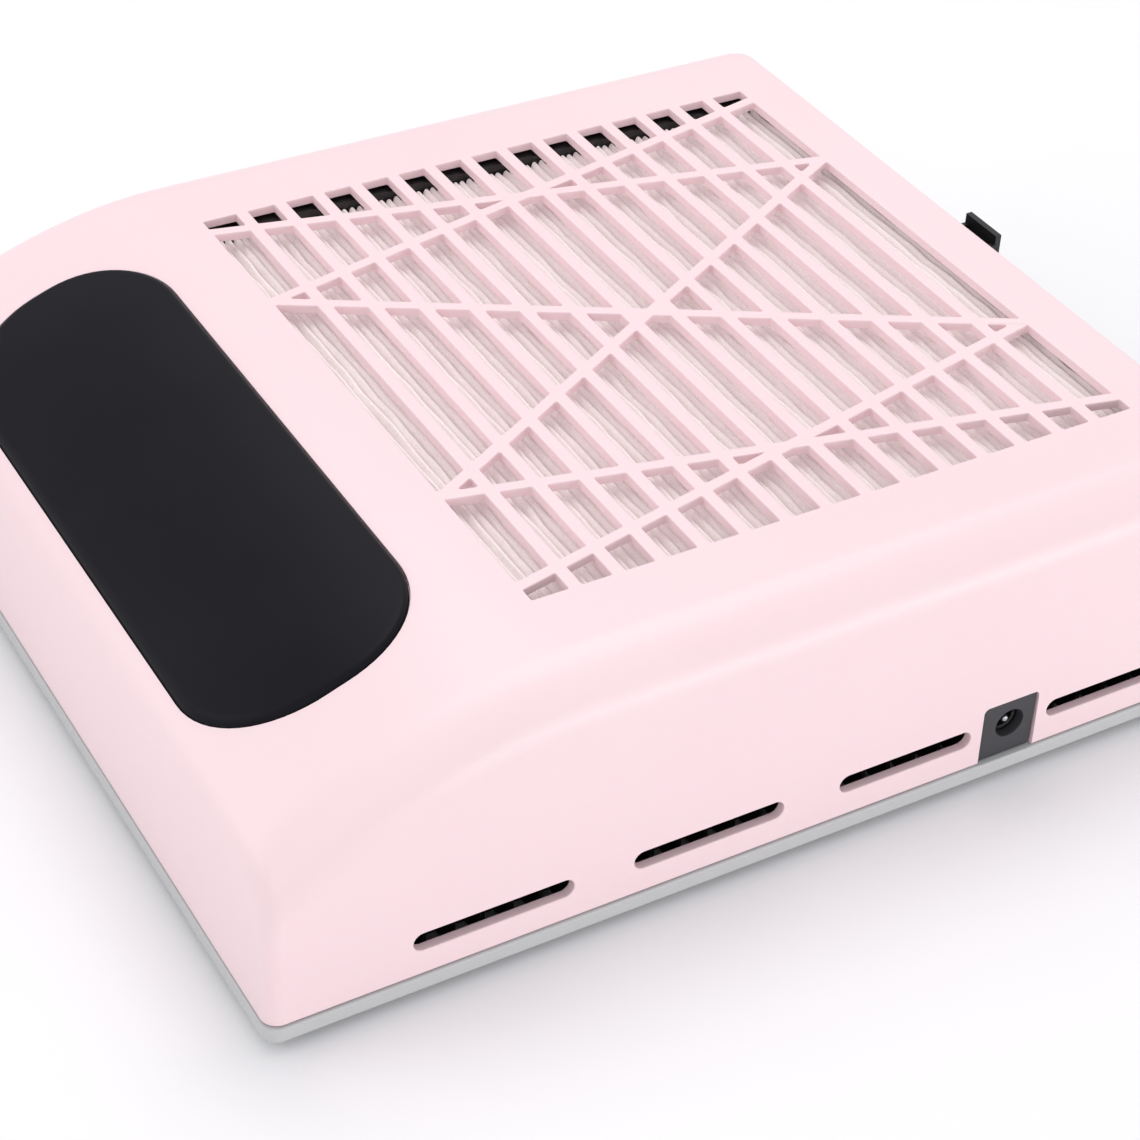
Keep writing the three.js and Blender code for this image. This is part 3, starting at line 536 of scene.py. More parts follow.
grille = {
    "y": baseLow.y + 166.1 * mm, "halfX": 89.8 * mm, "slots": 15, "slot": 7.78 * mm, "endSlot": 9.43 * mm,
    "bar": 3.47 * mm, "rib": 3.1 * mm, "nodes": (0.032, 0.241, 0.759, 0.968),
    "ribs": ((0, 1), (1, 0), (1, 2), (2, 1), (2, 3), (3, 2)),
    "cornerRadius": 0.45 * mm, "edgeRadius": 0.35 * mm, "smallest": 1.1 * mm,
}
pad = {
    "halfX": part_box("hand_rest_pad")[1].x, "front": baseLow.y + 7.5 * mm, "back": baseLow.y + 62.1 * mm,
    "corner": 25 * mm, "recess": 1 * mm, "gap": 0.25 * mm,
    "proud": 1.3 * mm, "edge": 2.2 * mm, "crown": 0.9 * mm, "sink": 1.1 * mm,
}
vents = {
    "z": baseZ + 14.3 * mm, "high": 5 * mm, "long": 40.5 * mm, "pitch": 56.3 * mm,
    "first": baseLow.y + 56.2 * mm, "count": 4, "clear": 3.5 * mm, "edge": 0.35 * mm,
    "depth": 6 * mm,
}
power = {
    "y": baseLow.y + 198.05 * mm, "z": baseZ + 14.2 * mm, "half": 8 * mm, "top": baseZ + 21.5 * mm,
    "gap": 0.25 * mm, "holeY": baseLow.y + 198.05 * mm + 0.5 * mm,
}
switchHole = {"halfY": 6.9 * mm, "halfZ": 4.7 * mm}


def clipped(corners, point, normal):
    # the part of a convex outline on the normal's side of a line
    kept = []
    for i, here in enumerate(corners):
        before = corners[i - 1]
        a, b = (before - point).dot(normal), (here - point).dot(normal)
        if (a > 0) != (b > 0):
            kept.append(before.lerp(here, a / (a - b)))
        if b > 0:
            kept.append(here)
    return kept


def grilleCells():
    ends = (0, grille["slots"] - 1)
    widths = [grille["endSlot"] if i in ends else grille["slot"] for i in range(grille["slots"])]
    whole = sum(widths) + grille["bar"] * (grille["slots"] - 1)
    front = grille["y"] - whole / 2
    xs = [(2 * share - 1) * grille["halfX"] for share in grille["nodes"]]
    strips = []
    for near, far in grille["ribs"]:
        start = Vector((xs[near], front))
        run = (Vector((xs[far], front + whole)) - start).normalized()
        strips.append((start, Vector((run.y, -run.x))))
    cells = []
    y = front
    for width in widths:
        parts = [rectangle(-grille["halfX"], grille["halfX"], y, y + width)]
        for start, side in strips:
            reach = side * grille["rib"] / 2
            parts = [piece for part in parts
                     for piece in (clipped(part, start + reach, side),
                                   clipped(part, start - reach, -side)) if piece]
        cells += parts
        y += width + grille["bar"]
    return [cell for cell in (tidyCell(cell) for cell in cells) if cell]


def tidyCell(corners):
    # drops corners that fall together and slivers too thin to mould
    corners = [c for i, c in enumerate(corners) if (c - corners[i - 1]).length > 0.05 * mm]
    if len(corners) < 3:
        return None
    area = sum(corners[i - 1].cross(corners[i]) for i in range(len(corners))) / 2
    around = sum((corners[i] - corners[i - 1]).length for i in range(len(corners)))
    return corners if 2 * area / around > grille["smallest"] / 2 else None


def ventRuns():
    runs = []
    for i in range(vents["count"]):
        middle = vents["first"] + i * vents["pitch"]
        low, high = middle - vents["long"] / 2, middle + vents["long"] / 2
        if middle < power["y"]:
            high = min(high, power["y"] - power["half"] - vents["clear"])
        else:
            low = max(low, power["y"] + power["half"] + vents["clear"])
        runs.append((low, high))
    return runs


def sidePlace(side, y, z):
    # local x along the side, local y up, local z straight out of the drafted face
    lean = math.atan(casing["draft"])
    rise = (z - casing["bottom"]) * casing["draft"]
    out = Vector((side * math.cos(lean), 0, math.sin(lean)))
    along = Vector((0, side, 0))
    up = out.cross(along)
    turn = Matrix((along, up, out)).transposed().to_4x4()
    return Matrix.Translation((side * (casing["halfX"] - rise), y, z)) @ turn


def padRing(grow, steps=16):
    outline = rectangle(-pad["halfX"], pad["halfX"], pad["front"], pad["back"])
    return roundedRing(outline, pad["corner"], grow, steps)


def boxCutter(x0, x1, y0, y1, z0, z1, radius=0.8 * mm, axis="Z"):
    if axis == "Z":
        ring = roundedRing(rectangle(x0, x1, y0, y1), radius, 0, 4)
        return loft("cutter", [[Vector((p.x, p.y, z)) for p in ring] for z in (z0, z1)])
    if axis == "Y":
        ring = roundedRing(rectangle(x0, x1, z0, z1), radius, 0, 4)
        return loft("cutter", [[Vector((p.x, y, p.y)) for p in ring] for y in (y0, y1)])
    ring = roundedRing(rectangle(y0, y1, z0, z1), radius, 0, 4)
    return loft("cutter", [[Vector((x, p.x, p.y)) for p in ring] for x in (x0, x1)])


def rod(x, y, z0, z1, radius, segments=32):
    return turned("rod", [(0, z0), (radius, z0), (radius, z1), (0, z1)], segments, (x, y, 0), closed=False)


def makeTopShell():
    shell = casingForm("topShell", 0, casing["bottom"], 0.35 * mm)
    boolean(shell, casingForm("hollow", casing["wall"], casing["bottom"] - 5 * mm))
    posts = [centreOf(f"shell_screw_{i}") for i in range(1, 5)]
    foot = casing["bottom"] + 0.5 * mm
    pillars = [rod(p.x, p.y, foot, topZ + 5 * mm, casing["post"], 40) for p in posts]
    roof = casingForm("roof", casing["wall"] / 2, casing["bottom"])
    boolean(roof, joinAll("pillars", pillars), "INTERSECT")
    boolean(shell, roof, "UNION")
    deep = casing["bottom"] + 13 * mm
    boolean(shell, joinAll("pillarHoles", [rod(p.x, p.y, casing["bottom"], deep, 1.8 * mm) for p in posts]))
    flat = Matrix.Translation((0, 0, topZ))
    cells = [flaredCutter(cell, grille["cornerRadius"], grille["edgeRadius"], casing["wall"] + mm, flat, 3)
             for cell in grilleCells()]
    boolean(shell, joinAll("grilleCells", cells))
    recess = loft("recess", [[Vector((p.x, p.y, z)) for p in padRing(pad["gap"])]
                             for z in (baseZ + 20 * mm, topZ + mm)])
    boolean(recess, casingForm("recessFloor", pad["recess"] + 0.3 * mm, 0))
    boolean(shell, recess)
    slots = []
    for low, high in ventRuns():
        for side in (-1, 1):
            half, tall = (high - low) / 2, vents["high"] / 2
            place = sidePlace(side, (low + high) / 2, vents["z"])
            outline = rectangle(-half, half, -tall, tall)
            slots.append(flaredCutter(outline, tall * 0.99, vents["edge"], vents["depth"], place, 8))
    boolean(shell, joinAll("ventSlots", slots))
    frameLow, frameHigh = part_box("filter_upper_frame")
    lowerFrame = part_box("filter_lower_frame")[0]
    gap = power["gap"]
    notch = roundedRing(rectangle(power["y"] - power["half"] - gap, power["y"] + power["half"] + gap,
                                  baseZ - 20 * mm, power["top"] + gap), 1.5 * mm, 0, 6)
    openings = [
        boxCutter(frameLow.x - 0.6 * mm, frameHigh.x + 0.6 * mm,
                  casing["back"] - 10 * mm, casing["back"] + 5 * mm,
                  lowerFrame.z - 0.5 * mm, baseZ + 68.1 * mm, 1 * mm, "Y"),
        loft("cutter", [[Vector((x, p.x, p.y)) for p in notch]
                        for x in (casing["halfX"] - 8 * mm, cadHigh.x + 5 * mm)]),
        boxCutter(-casing["halfX"] - 5 * mm, -casing["halfX"] + 8 * mm,
                  power["y"] - switchHole["halfY"], power["y"] + switchHole["halfY"],
                  power["z"] - switchHole["halfZ"], power["z"] + switchHole["halfZ"], 0.6 * mm, "X"),
    ]
    boolean(shell, joinAll("openings", openings))
    shell.name = "topShell"
    return dress(smooth(shell, 30), "top_shell")


makeTopShell()
print("top shell made")


# hand rest

def surfaceZ(x, y):
    # height of the casing's top over the flat middle of its width
    middle = (casing["front"] + casing["back"]) / 2
    halfY = casing["back"] - middle
    z = topZ
    for _ in range(4):
        lengthwise = 1 - casing["lengthDraft"] * (z - casing["bottom"]) * casing["draft"] / halfY
        z = topZ - fallAt(middle + (y - middle) / lengthwise)
    return z


def makeHandRest():
    rings = []
    levels = [(0.0, -pad["sink"]), (0.0, pad["proud"] - pad["edge"])]
    for k in range(1, 9):
        angle = math.pi / 2 * k / 8
        drop = pad["edge"] * (1 - math.sin(angle))
        levels.append((pad["edge"] * (1 - math.cos(angle)), pad["proud"] - drop))
    inner = pad["corner"] - 0.6 * mm
    for k in range(1, 25):
        inset = pad["edge"] + (inner - pad["edge"]) * k / 24
        share = (inset - pad["edge"]) / (inner - pad["edge"])
        levels.append((inset, pad["proud"] + pad["crown"] * math.sin(share * math.pi / 2)))
    for inset, lift in levels:
        rings.append([Vector((p.x, p.y, surfaceZ(p.x, p.y) + lift)) for p in padRing(-inset)])
    count = len(rings[0])
    faces = []
    for r in range(len(rings) - 1):
        for i in range(count):
            a, b = r * count + i, r * count + (i + 1) % count
            faces.append((a, b, b + count, a + count))
    faces.append(tuple(reversed(range(count))))
    vertices = [p for ring in rings for p in ring]
    piece = meshObject("handRestPad", vertices, faces)
    fillMiddle(piece, (len(rings) - 1) * count, count)
    piece = dress(smooth(faceOut(piece), 50), "hand_rest_pad")
    return piece


def fillMiddle(piece, start, count):
    # a ladder of quads across the last ring
    work = bmesh.new()
    work.from_mesh(piece.data)
    work.verts.ensure_lookup_table()
    quarter = count // 4
    ring = [work.verts[start + (i + quarter) % count] for i in range(count)]
    for i in range(count // 2 - 1):
        corners = [ring[i], ring[i + 1], ring[count - 2 - i], ring[count - 1 - i]]
        work.faces.new(corners)
    work.to_mesh(piece.data)
    work.free()


makeHandRest()
print("hand rest made")


# base plate

base = {"corner": 4 * mm, "rim": baseZ + 4.5 * mm, "floor": baseZ + 2.2 * mm, "ribTop": baseZ + 8.2 * mm,
        "topEdge": 0.5 * mm, "lowEdge": 1.1 * mm, "ribInset": 3.6 * mm, "ribWall": 1.8 * mm,
        "ribCorner": 2.8 * mm}
screwHole = 1.8 * mm


def planRing(inset, corner, steps=10):
    outline = rectangle(baseLow.x + inset, baseHigh.x - inset, baseLow.y + inset, baseHigh.y - inset)
    return roundedRing(outline, corner, 0, steps)


def planLevel(inset, z, corner=None):
    corner = max(base["corner"] - inset, 0.6 * mm) if corner is None else corner
    return [Vector((p.x, p.y, z)) for p in planRing(inset, corner)]


def makeBasePlate():
    rim, low = base["rim"], baseZ
    levels = []
    for k in range(5):
        angle = math.pi / 2 * k / 4
        rise = base["lowEdge"] * (1 - math.cos(angle))
        levels.append(planLevel(base["lowEdge"] * (1 - math.sin(angle)), low + rise))
    for k in range(5):
        angle = math.pi / 2 * k / 4
        drop = base["topEdge"] * (1 - math.sin(angle))
        levels.append(planLevel(base["topEdge"] * (1 - math.cos(angle)), rim - drop))
    inner = base["ribInset"]
    levels.append(planLevel(inner, rim, base["ribCorner"]))
    levels.append(planLevel(inner, base["ribTop"] - 0.3 * mm, base["ribCorner"]))
    levels.append(planLevel(inner + 0.3 * mm, base["ribTop"], base["ribCorner"]))
    inner += base["ribWall"]
    levels.append(planLevel(inner - 0.3 * mm, base["ribTop"], base["ribCorner"]))
    levels.append(planLevel(inner, base["ribTop"] - 0.3 * mm, base["ribCorner"]))
    levels.append(planLevel(inner, base["floor"], base["ribCorner"]))
    plate = loft("basePlate", levels)
    screws = [centreOf(f"shell_screw_{i}") for i in range(1, 5)]
    decks = [centreOf(f"deck_screw_{i}") for i in range(1, 5)]
    motors = [centreOf(f"motor_screw_{i}") for i in range(1, 5)]
    boards = [centreOf(f"board_screw_{i}") for i in range(1, 3)]
    bosses = [rod(p.x, p.y, baseZ + mm, baseZ + 5 * mm, 5.2 * mm) for p in screws]
    bosses += [rod(p.x, p.y, baseZ + mm, baseHigh.z, 4.5 * mm) for p in decks]
    bosses += [rod(p.x, p.y, baseZ + mm, baseZ + 4.4 * mm, 5 * mm) for p in motors]
    bosses += [rod(p.x, p.y, baseZ + mm, baseZ + 7.7 * mm, 3.2 * mm) for p in boards]
    boolean(plate, joinAll("bosses", bosses), "UNION")
    holes = [rod(p.x, p.y, baseZ - mm, baseZ + 6 * mm, screwHole) for p in screws]
    holes += [rod(p.x, p.y, baseZ + 30 * mm, baseHigh.z + mm, screwHole) for p in decks]
    holes += [rod(p.x, p.y, baseZ + mm, baseZ + 5 * mm, screwHole) for p in motors]
    holes += [rod(p.x, p.y, baseZ + 2.6 * mm, baseZ + 9 * mm, screwHole) for p in boards]
    boolean(plate, joinAll("holes", holes))
    mouths = [rod(p.x, p.y, baseZ - mm, baseZ + 2.6 * mm, 3.6 * mm, 40) for p in screws]
    for i in range(1, 5):
        spot = centreOf(f"foot_{i}")
        mouths.append(rod(spot.x, spot.y, baseZ - mm, baseZ + 0.8 * mm, 7.3 * mm, 48))
    mouths.append(boxCutter(baseHigh.x - 9 * mm, baseHigh.x - 2.6 * mm,
                            power["y"] - 8.6 * mm, power["y"] + 8.6 * mm,
                            base["rim"] + 0.01 * mm, base["ribTop"] + mm))
    boolean(plate, joinAll("mouths", mouths))
    plate.name = "basePlate"
    return dress(smooth(plate, 30), "base_plate")


makeBasePlate()
print("base plate made")


def softened(node, width, segments):
    # a copy of a CAD piece with its flats merged and its edges rounded
    piece = bpy.data.objects.new(pieceName(node), frame["nodes"][node].data.copy())
    bpy.context.scene.collection.objects.link(piece)
    work = bmesh.new()
    work.from_mesh(piece.data)
    bmesh.ops.remove_doubles(work, verts=work.verts, dist=2e-6)
    bmesh.ops.dissolve_limit(work, angle_limit=math.radians(0.6), verts=work.verts, edges=work.edges)
    work.to_mesh(piece.data)
    work.free()
    step = piece.modifiers.new("round edges", "BEVEL")
    step.width = width
    step.segments = segments
    step.limit_method = "ANGLE"
    step.angle_limit = math.radians(35)
    applyAll(piece)
    return dress(smooth(piece, 40), node)


def pieceName(node):
    first, *rest = node.split("_")
    return first + "".join(word.capitalize() for word in rest)


# filter drawer

media = {"pleats": 78, "across": 64, "sheet": 0.9 * mm, "wobble": 0.26 * mm, "lift": 0.35 * mm, "seed": 7,
         "fold": ((0.0, 0.0), (0.04, 0.4), (0.09, 0.86), (0.18, 0.95), (0.34, 0.993), (0.5, 1.0),
                  (0.66, 0.993),
                  (0.82, 0.95), (0.91, 0.86), (0.96, 0.4))}


def makeFilterMedia():
    low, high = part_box("filter_media")
    draw = np.random.RandomState(media["seed"])
    across = np.linspace(low.x, high.x, media["across"] + 1)
    pitch = (high.y - low.y) / media["pleats"]
    height = high.z - low.z - media["sheet"]
    lines = []
    for k in range(media["pleats"]):
        drift = waver(draw, across, 5)
        rise = waver(draw, across, 7)
        for share, tall in media["fold"]:
            y = low.y + (k + share) * pitch + media["wobble"] * drift * tall
            z = low.z + media["sheet"] + height * tall - media["lift"] * (1 + rise) * tall ** 3
            lines.append([Vector(p) for p in zip(across, y, z)])
    lines.append([Vector((x, high.y, low.z + media["sheet"])) for x in across])
    rings = [line + [p - Vector((0, 0, media["sheet"])) for p in reversed(line)] for line in lines]
    piece = dress(smooth(loft("filterMedia", rings), 75), "filter_media")
    return piece


def waver(draw, across, waves):
    # a slow random line between -1 and 1
    knots = draw.uniform(-1, 1, 4 * waves)
    return np.interp(across, np.linspace(across[0], across[-1], 4 * waves), knots)


makeFilterMedia()
softened("filter_upper_frame", 0.45 * mm, 3)
softened("filter_lower_frame", 0.4 * mm, 2)
print("filter drawer made")


# vents and electrics in the walls

for side in ("right", "left"):
    for end in ("front", "rear"):
        softened(f"vent_guard_{side}_{end}", 0.15 * mm, 1)


def makeSocketPlate():
    low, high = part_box("power_socket_plate")
    corners = rectangle(low.y, high.y, low.z, high.z)
    levels = [(-0.12 * mm, low.x), (-0.12 * mm, high.x - 0.4 * mm), (-0.2 * mm, high.x - 0.2 * mm),
              (-0.4 * mm, high.x - 0.1 * mm)]
    rings = [[Vector((x, p.x, p.y)) for p in roundedRing(corners, 1.2 * mm, grow, 5)]
             for grow, x in levels]
    plate = loft("powerSocketPlate", rings)
    hole = [(0, low.x - mm), (4 * mm, low.x - mm), (4 * mm, high.x - 0.5 * mm),
            (4.15 * mm, high.x - 0.15 * mm), (4.5 * mm, high.x), (4.5 * mm, high.x + mm), (0, high.x + mm)]
    boolean(plate, turned("hole", hole, 64, (0, power["holeY"], power["z"]), "X", False))
    plate.name = "powerSocketPlate"
    return dress(smooth(plate, 35), "power_socket_plate")


def makeSocketBody():
    low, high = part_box("power_socket_body")
    body = boxCutter(low.x, high.x, low.y, high.y, low.z, high.z, 0.6 * mm, "X")
    well = [(0, high.x - 9.5 * mm), (3.2 * mm, high.x - 9.5 * mm), (3.2 * mm, high.x - 0.4 * mm),
            (3.6 * mm, high.x), (3.6 * mm, high.x + mm), (0, high.x + mm)]
    boolean(body, turned("well", well, 48, (0, power["holeY"], power["z"]), "X", False))
    body.name = "powerSocketBody"
    return dress(smooth(body, 35), "power_socket_body")


def makeSocketPin():
    low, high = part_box("power_socket_pin")
    profile = [(0, low.x), (mm, low.x), (mm, high.x - 0.6 * mm), (0.8 * mm, high.x - 0.2 * mm),
               (0.4 * mm, high.x), (0, high.x)]
    pin = turned("powerSocketPin", profile, 32, (0, power["holeY"], power["z"]), "X", False)
    return dress(smooth(pin, 50), "power_socket_pin")


makeSocketPlate()
makeSocketBody()
makeSocketPin()
softened("switch_body", 0.35 * mm, 3)
softened("switch_rocker", 0.4 * mm, 3)
softened("control_board", 0.15 * mm, 1)
softened("motor_lead_socket", 0.25 * mm, 2)
print("sockets and switch made")


# round pieces

def roundPiece(node, profile, segments=64, angle=40, closed=True):
    middle = centreOf(node)
    piece = turned(pieceName(node), profile, segments, (middle.x, middle.y, 0), "Z", closed)
    return dress(smooth(piece, angle), node)


def ringProfile(low, high, inner, outer, edge):
    return roundedProfile([(inner, low), (outer, low), (outer, high), (inner, high)], edge, 3)


def makeFoot(node):
    low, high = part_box(node)
    radius = (high.x - low.x) / 2
    profile = [(0, low.z + 0.35 * mm), (radius - 2.6 * mm, low.z + 0.35 * mm), (radius - 2.2 * mm, low.z)]
    profile += [(radius - 0.8 * mm + 0.8 * mm * math.sin(a), low.z + 0.8 * mm * (1 - math.cos(a)))
                for a in (0, 0.4, 0.8, 1.2, math.pi / 2)]
    profile += [(radius, high.z - 0.2 * mm), (radius - 0.2 * mm, high.z), (0, high.z)]
    return roundPiece(node, profile, 64, 40, False)


def makeScrew(node, headLow):
    # pan head with a cross recess over a threaded shank
    low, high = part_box(node)
    middle = centreOf(node)
    shank, head, tall, pitch = 1.5 * mm, 2.8 * mm, 1.8 * mm, 0.9 * mm
    length = high.z - low.z - tall
    profile = [(0, -length), (shank * 0.5, -length)]
    turns = int((length - 1.5 * mm) / pitch)
    for k in range(turns):
        z = -length + 0.6 * mm + k * pitch
        profile += [(shank * 0.78, z), (shank, z + pitch * 0.35), (shank * 0.78, z + pitch * 0.7)]
    profile += [(shank * 0.9, -0.1 * mm), (shank * 0.9, 0), (head - 0.15 * mm, 0), (head, 0.15 * mm)]
    profile += [(head * math.cos(a), 0.5 * mm + (tall - 0.5 * mm) * math.sin(a))
                for a in (0, 0.35, 0.7, 1.05, 1.4)]
    profile += [(0, tall)]
    screw = turned(pieceName(node), profile, 32, closed=False)
    for turn in (0, math.pi / 2):
        slot = [Vector((x, y, 0)) for x, y in ((-1.5, -0.3), (1.5, -0.3), (1.5, 0.3), (-1.5, 0.3))]
        spin = Matrix.Rotation(turn + 0.4, 3, "Z")
        rings = [[spin @ (p * mm * grow) + Vector((0, 0, z)) for p in slot] for grow, z in
                 ((0.35, tall - 1.2 * mm), (1.0, tall + 0.2 * mm))]
        boolean(screw, loft("crossSlot", rings))
    flip = Matrix.Rotation(math.pi if headLow else 0, 4, "X")
    seat = low.z + tall if headLow else high.z - tall
    screw.data.transform(Matrix.Translation((middle.x, middle.y, seat)) @ flip)
    screw.name = pieceName(node)
    return dress(smooth(screw, 40), node)


for i in range(1, 5):
    makeFoot(f"foot_{i}")
    low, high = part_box(f"motor_isolator_{i}")
    roundPiece(f"motor_isolator_{i}", ringProfile(low.z, high.z, 2 * mm, 5 * mm, 0.5 * mm), 48)
    makeScrew(f"motor_screw_{i}", False)
    makeScrew(f"deck_screw_{i}", False)
    makeScrew(f"shell_screw_{i}", True)
makeScrew("board_screw_1", False)
makeScrew("board_screw_2", False)
print("feet and screws made")


# fan

fan = {
    "radius": 66 * mm, "hub": 24.3 * mm, "inlet": 50 * mm, "blades": 16, "inner": 38 * mm,
    "blade": 1.5 * mm, "plate": 1.6 * mm, "sweep": math.radians(34), "cap": 21.4 * mm, "steps": 10,
}


def makeImpeller():
    low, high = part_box("impeller")
    spot = (0, centreOf("motor_shaft").y, 0)
    bottom, top, hub, radius = low.z, high.z, fan["hub"], fan["radius"]
    plateTop, cap = bottom + fan["plate"], bottom + fan["cap"]
    disc = [(hub, bottom), (radius, bottom), (radius, plateTop), (hub + 8 * mm, plateTop),
            (hub + 2.6 * mm, plateTop + 3 * mm), (hub + 2 * mm, cap - mm), (hub - 1 * mm, cap + 0.9 * mm),
            (hub - 12 * mm, cap + 2 * mm), (0, cap + 2.4 * mm), (0, cap - mm), (hub, cap - mm)]
    radii = [0, 0.4 * mm, 0.4 * mm, 3 * mm, 3 * mm, 1.5 * mm, 1.2 * mm, 3 * mm, 0, 0, 0]
    smoothed = roundedProfile(disc, radii, 4)
    piece = turned("impeller", smoothed, 96, spot)
    inner = fan["inlet"] + 2.4 * mm
    shroud = [(inner, top - 1.4 * mm), (radius, top - 3.4 * mm), (radius, top - 2 * mm), (inner, top)]
    boolean(piece, turned("shroud", roundedProfile(shroud, 0.4 * mm, 3), 96, spot), "UNION")
    blades = []
    steps = fan["steps"]
    reach = radius - mm
    for k in range(fan["blades"]):
        turn = 2 * math.pi * k / fan["blades"]
        rings = []
        for i in range(steps + 1):
            share = i / steps
            r = fan["inner"] + (reach - fan["inner"]) * share
            angle = turn - fan["sweep"] * share ** 1.3
            thick = fan["blade"] / 2 * (0.45 if i in (0, steps) else 1.0)
            side = Vector((-math.sin(turn), math.cos(turn), 0)) * thick
            mid = Vector((r * math.cos(angle), r * math.sin(angle) + spot[1], 0))
            lowZ, highZ = bottom + 0.8 * mm, top - 2.9 * mm
            rings.append([mid - side + Vector((0, 0, lowZ)), mid + side + Vector((0, 0, lowZ)),
                          mid + side + Vector((0, 0, highZ)), mid - side + Vector((0, 0, highZ))])
        blades.append(loft("blade", rings))
    boolean(piece, joinAll("blades", blades), "UNION")
    piece.name = "impeller"
    return dress(smooth(piece, 35), "impeller")


def makeInletGuard():
    low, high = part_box("inlet_guard")
    spot = centreOf("inlet_guard")
    middle, wire = spot.z, (high.z - low.z) / 2
    rings = []
    wires = ((53.5 * mm, 1.5 * mm), (41 * mm, 0.7 * mm), (28 * mm, 0.7 * mm), (15 * mm, 0.7 * mm))
    for radius, wide in wires:
        rings.append(turned("wire", [(radius + wide * math.cos(a), middle + wire * math.sin(a))
                                     for a in np.linspace(0, 2 * math.pi, 13)[:-1]], 96, (spot.x, spot.y, 0)))
    piece = rings[0]
    for ring in rings[1:]:
        boolean(piece, ring, "UNION")
    for k in range(4):
        turn = math.pi * k / 4
        run = Vector((math.cos(turn), math.sin(turn), 0))
        side = Vector((-run.y, run.x, 0))
        ends = []
        for reach in (-53.2 * mm, 53.2 * mm):
            ends.append([Vector((spot.x, spot.y, middle)) + run * reach + side * (0.7 * mm * math.cos(a))
                         + Vector((0, 0, wire * 0.98 * math.sin(a)))
                         for a in np.linspace(0, 2 * math.pi, 11)[:-1]])
        boolean(piece, loft("spoke", ends), "UNION")
    piece.name = "inletGuard"
    return dress(smooth(piece, 50), "inlet_guard")


def makeMotor():
    for node, inner, outer, edge in (("rotor_magnet", 20.4, 22.1, 0.2), ("driver_board", 8.3, 20, 0.1)):
        low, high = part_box(node)
        roundPiece(node, ringProfile(low.z, high.z, inner * mm, outer * mm, edge * mm), 72)
    low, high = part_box("rotor_cup")
    roundPiece("rotor_cup", roundedProfile([
        (22.4 * mm, low.z), (24 * mm, low.z), (24 * mm, high.z), (2.55 * mm, high.z),
        (2.55 * mm, high.z - 3.4 * mm), (4.55 * mm, high.z - 3.4 * mm), (5.55 * mm, high.z - 1.6 * mm),
        (22.4 * mm, high.z - 1.6 * mm)],
        [0.2 * mm, 0.2 * mm, 1.5 * mm, 0.2 * mm, 0.2 * mm, 0.3 * mm, 0.3 * mm, 0.8 * mm], 3), 72)
    low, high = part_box("motor_shaft")
    roundPiece("motor_shaft", [(0, low.z), (2.2 * mm, low.z), (2.5 * mm, low.z + 0.3 * mm),
                               (2.5 * mm, high.z - 0.3 * mm), (2.2 * mm, high.z), (0, high.z)], 48, 40, False)
    for node in ("lower_bearing", "upper_bearing"):
        low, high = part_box(node)
        inner, outer = 2.55 * mm, 5.5 * mm
        sunk = 0.25 * mm
        race = [(inner, low.z), (inner + 0.8 * mm, low.z), (inner + 0.9 * mm, low.z + sunk),
                (outer - 0.9 * mm, low.z + sunk), (outer - 0.8 * mm, low.z), (outer, low.z),
                (outer, high.z), (outer - 0.8 * mm, high.z), (outer - 0.9 * mm, high.z - sunk),
                (inner + 0.9 * mm, high.z - sunk), (inner + 0.8 * mm, high.z), (inner, high.z)]
        roundPiece(node, race, 48, 35)
    softened("motor_mount", 0.3 * mm, 2)
    softened("stator_core", 0.15 * mm, 1)
    softened("stator_windings", 0.5 * mm, 2)
    low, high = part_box("board_capacitor")
    sleeve = [(0, low.z), (4.6 * mm, low.z), (5 * mm, low.z + 0.4 * mm), (5 * mm, low.z + 1.2 * mm),
              (4.6 * mm, low.z + 1.7 * mm), (5 * mm, low.z + 2.2 * mm), (5 * mm, high.z - 0.5 * mm),
              (4.6 * mm, high.z), (4.1 * mm, high.z), (3.9 * mm, high.z - 0.25 * mm), (0, high.z - 0.25 * mm)]
    roundPiece("board_capacitor", sleeve, 48, 40, False)


makeImpeller()
makeInletGuard()
makeMotor()
softened("fan_deck", 0.4 * mm, 2)
softened("filter_gasket", 0.5 * mm, 2)
print("fan and motor made")


# stage, light and camera

studio = {
    "floor": (0.93, 0.93, 0.94), "world": (0.955, 0.965, 1.0), "worldStrength": 0.7,
    "place": (0.50411, -0.29838, 0.45668), "azimuth": 58.57, "elevation": 37.91, "roll": 2.94, "lens": 87.73,
}


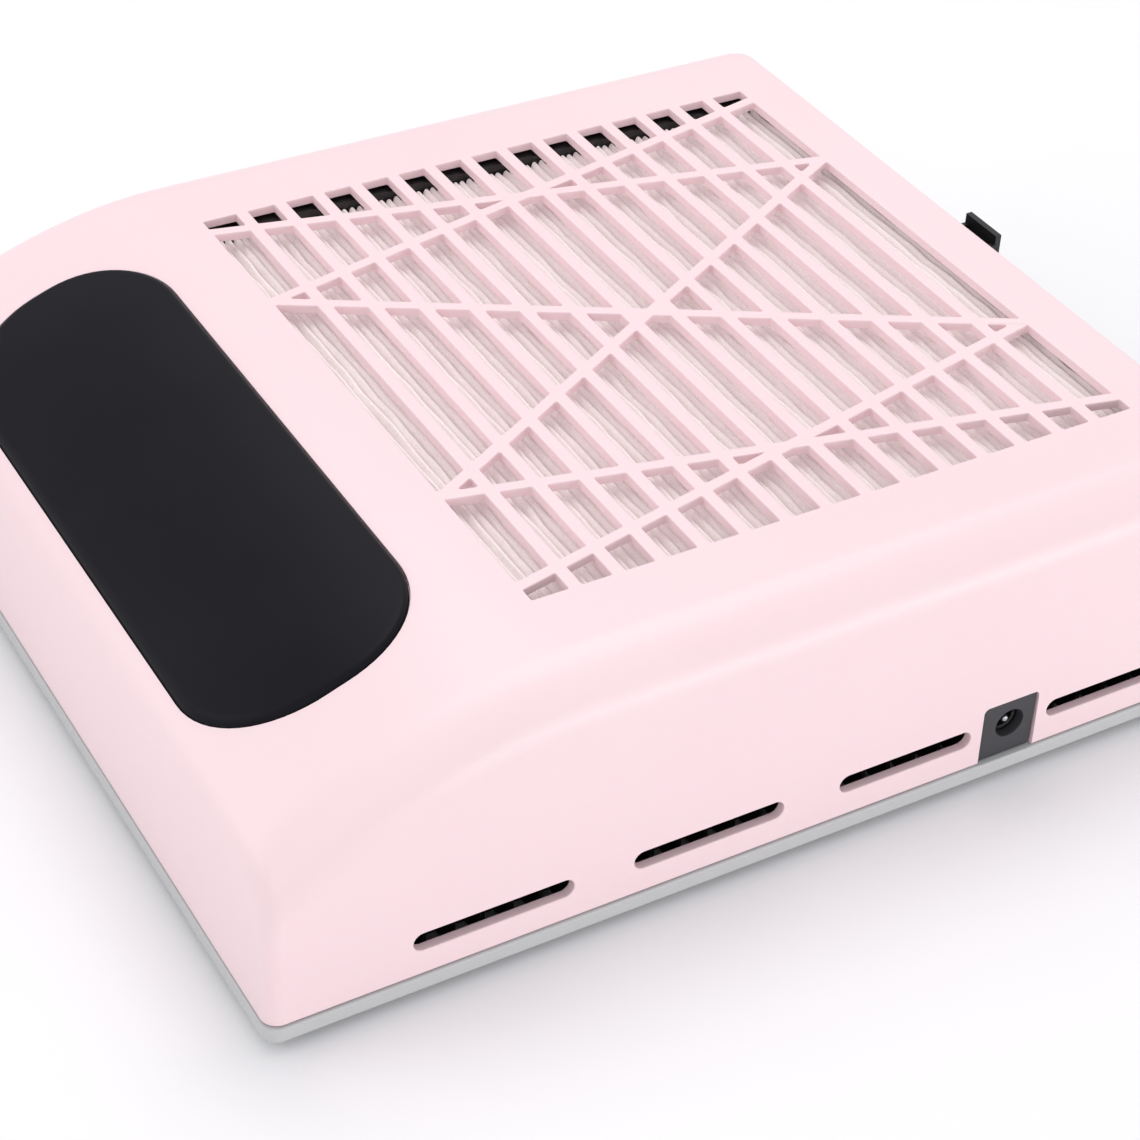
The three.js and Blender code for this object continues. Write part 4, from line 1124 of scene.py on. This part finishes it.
def makeCamera():
    data = bpy.data.cameras.new("camera")
    data.lens = studio["lens"]
    data.sensor_width = 36
    data.clip_start, data.clip_end = 0.01, 20
    camera = bpy.data.objects.new("camera", data)
    bpy.context.scene.collection.objects.link(camera)
    turn = math.radians(studio["azimuth"])
    lean = math.radians(studio["elevation"])
    back = Vector((math.sin(turn) * math.cos(lean), -math.cos(turn) * math.cos(lean), math.sin(lean)))
    spin = (-back).to_track_quat("-Z", "Y").to_matrix().to_4x4()
    camera.matrix_world = (Matrix.Translation(studio["place"]) @ spin
                           @ Matrix.Rotation(math.radians(studio["roll"]), 4, "Z"))
    bpy.context.scene.camera = camera


def makeFloor():
    size, z = 6.0, cadLow.z - 0.02 * mm
    corners = [(-size, -size, z), (size, -size, z), (size, size, z), (-size, size, z)]
    floor = meshObject("floor", corners, [(0, 1, 2, 3)])
    recipe = Recipe("paleFloor", Roughness=0.55, Specular_IOR_Level=0.2)
    grain = recipe.noise(40.0, 3.0)
    shade = recipe.ramp(grain, [(0.3, [c * 0.995 for c in studio["floor"]]), (0.7, studio["floor"])])
    floor.data.materials.append(recipe.finish(shade, 0.55 + 0.02 * grain, grain, 0.02, 0.1 * mm))


def makeLight(name, place, aim, size, power, colour=(1, 1, 1)):
    data = bpy.data.lights.new(name, "AREA")
    data.shape = "RECTANGLE"
    data.size, data.size_y = size
    data.energy = power
    data.color = colour
    light = bpy.data.objects.new(name, data)
    bpy.context.scene.collection.objects.link(light)
    light.location = place
    light.rotation_mode = "QUATERNION"
    light.rotation_quaternion = (Vector(aim) - Vector(place)).to_track_quat("-Z", "Y")


def makeWorld():
    world = bpy.data.worlds.new("studio")
    world.use_nodes = True
    background = world.node_tree.nodes["Background"]
    background.inputs["Color"].default_value = (*studio["world"], 1.0)
    background.inputs["Strength"].default_value = studio["worldStrength"]
    bpy.context.scene.world = world


makeCamera()
makeFloor()
makeWorld()
warm = (1.0, 0.985, 0.965)
makeLight("overhead", (-0.4, 0.3, 1.3), (0, 0, 0), (1.1, 1.1), 7.3, warm)
makeLight("sideStrip", (1.15, 0.5, 0.13), (0, 0.02, 0.03), (0.9, 0.18), 3.3, warm)
makeLight("frontFill", (-0.5, -1.3, 0.8), (0, 0, 0.03), (1.2, 0.9), 4.0, warm)
makeLight("viewFill", (0.95, -0.72, 0.9), (0, 0, 0.05), (1.0, 1.0), 1.6, warm)
bpy.context.scene.view_settings.view_transform = "Standard"
print("stage ready")
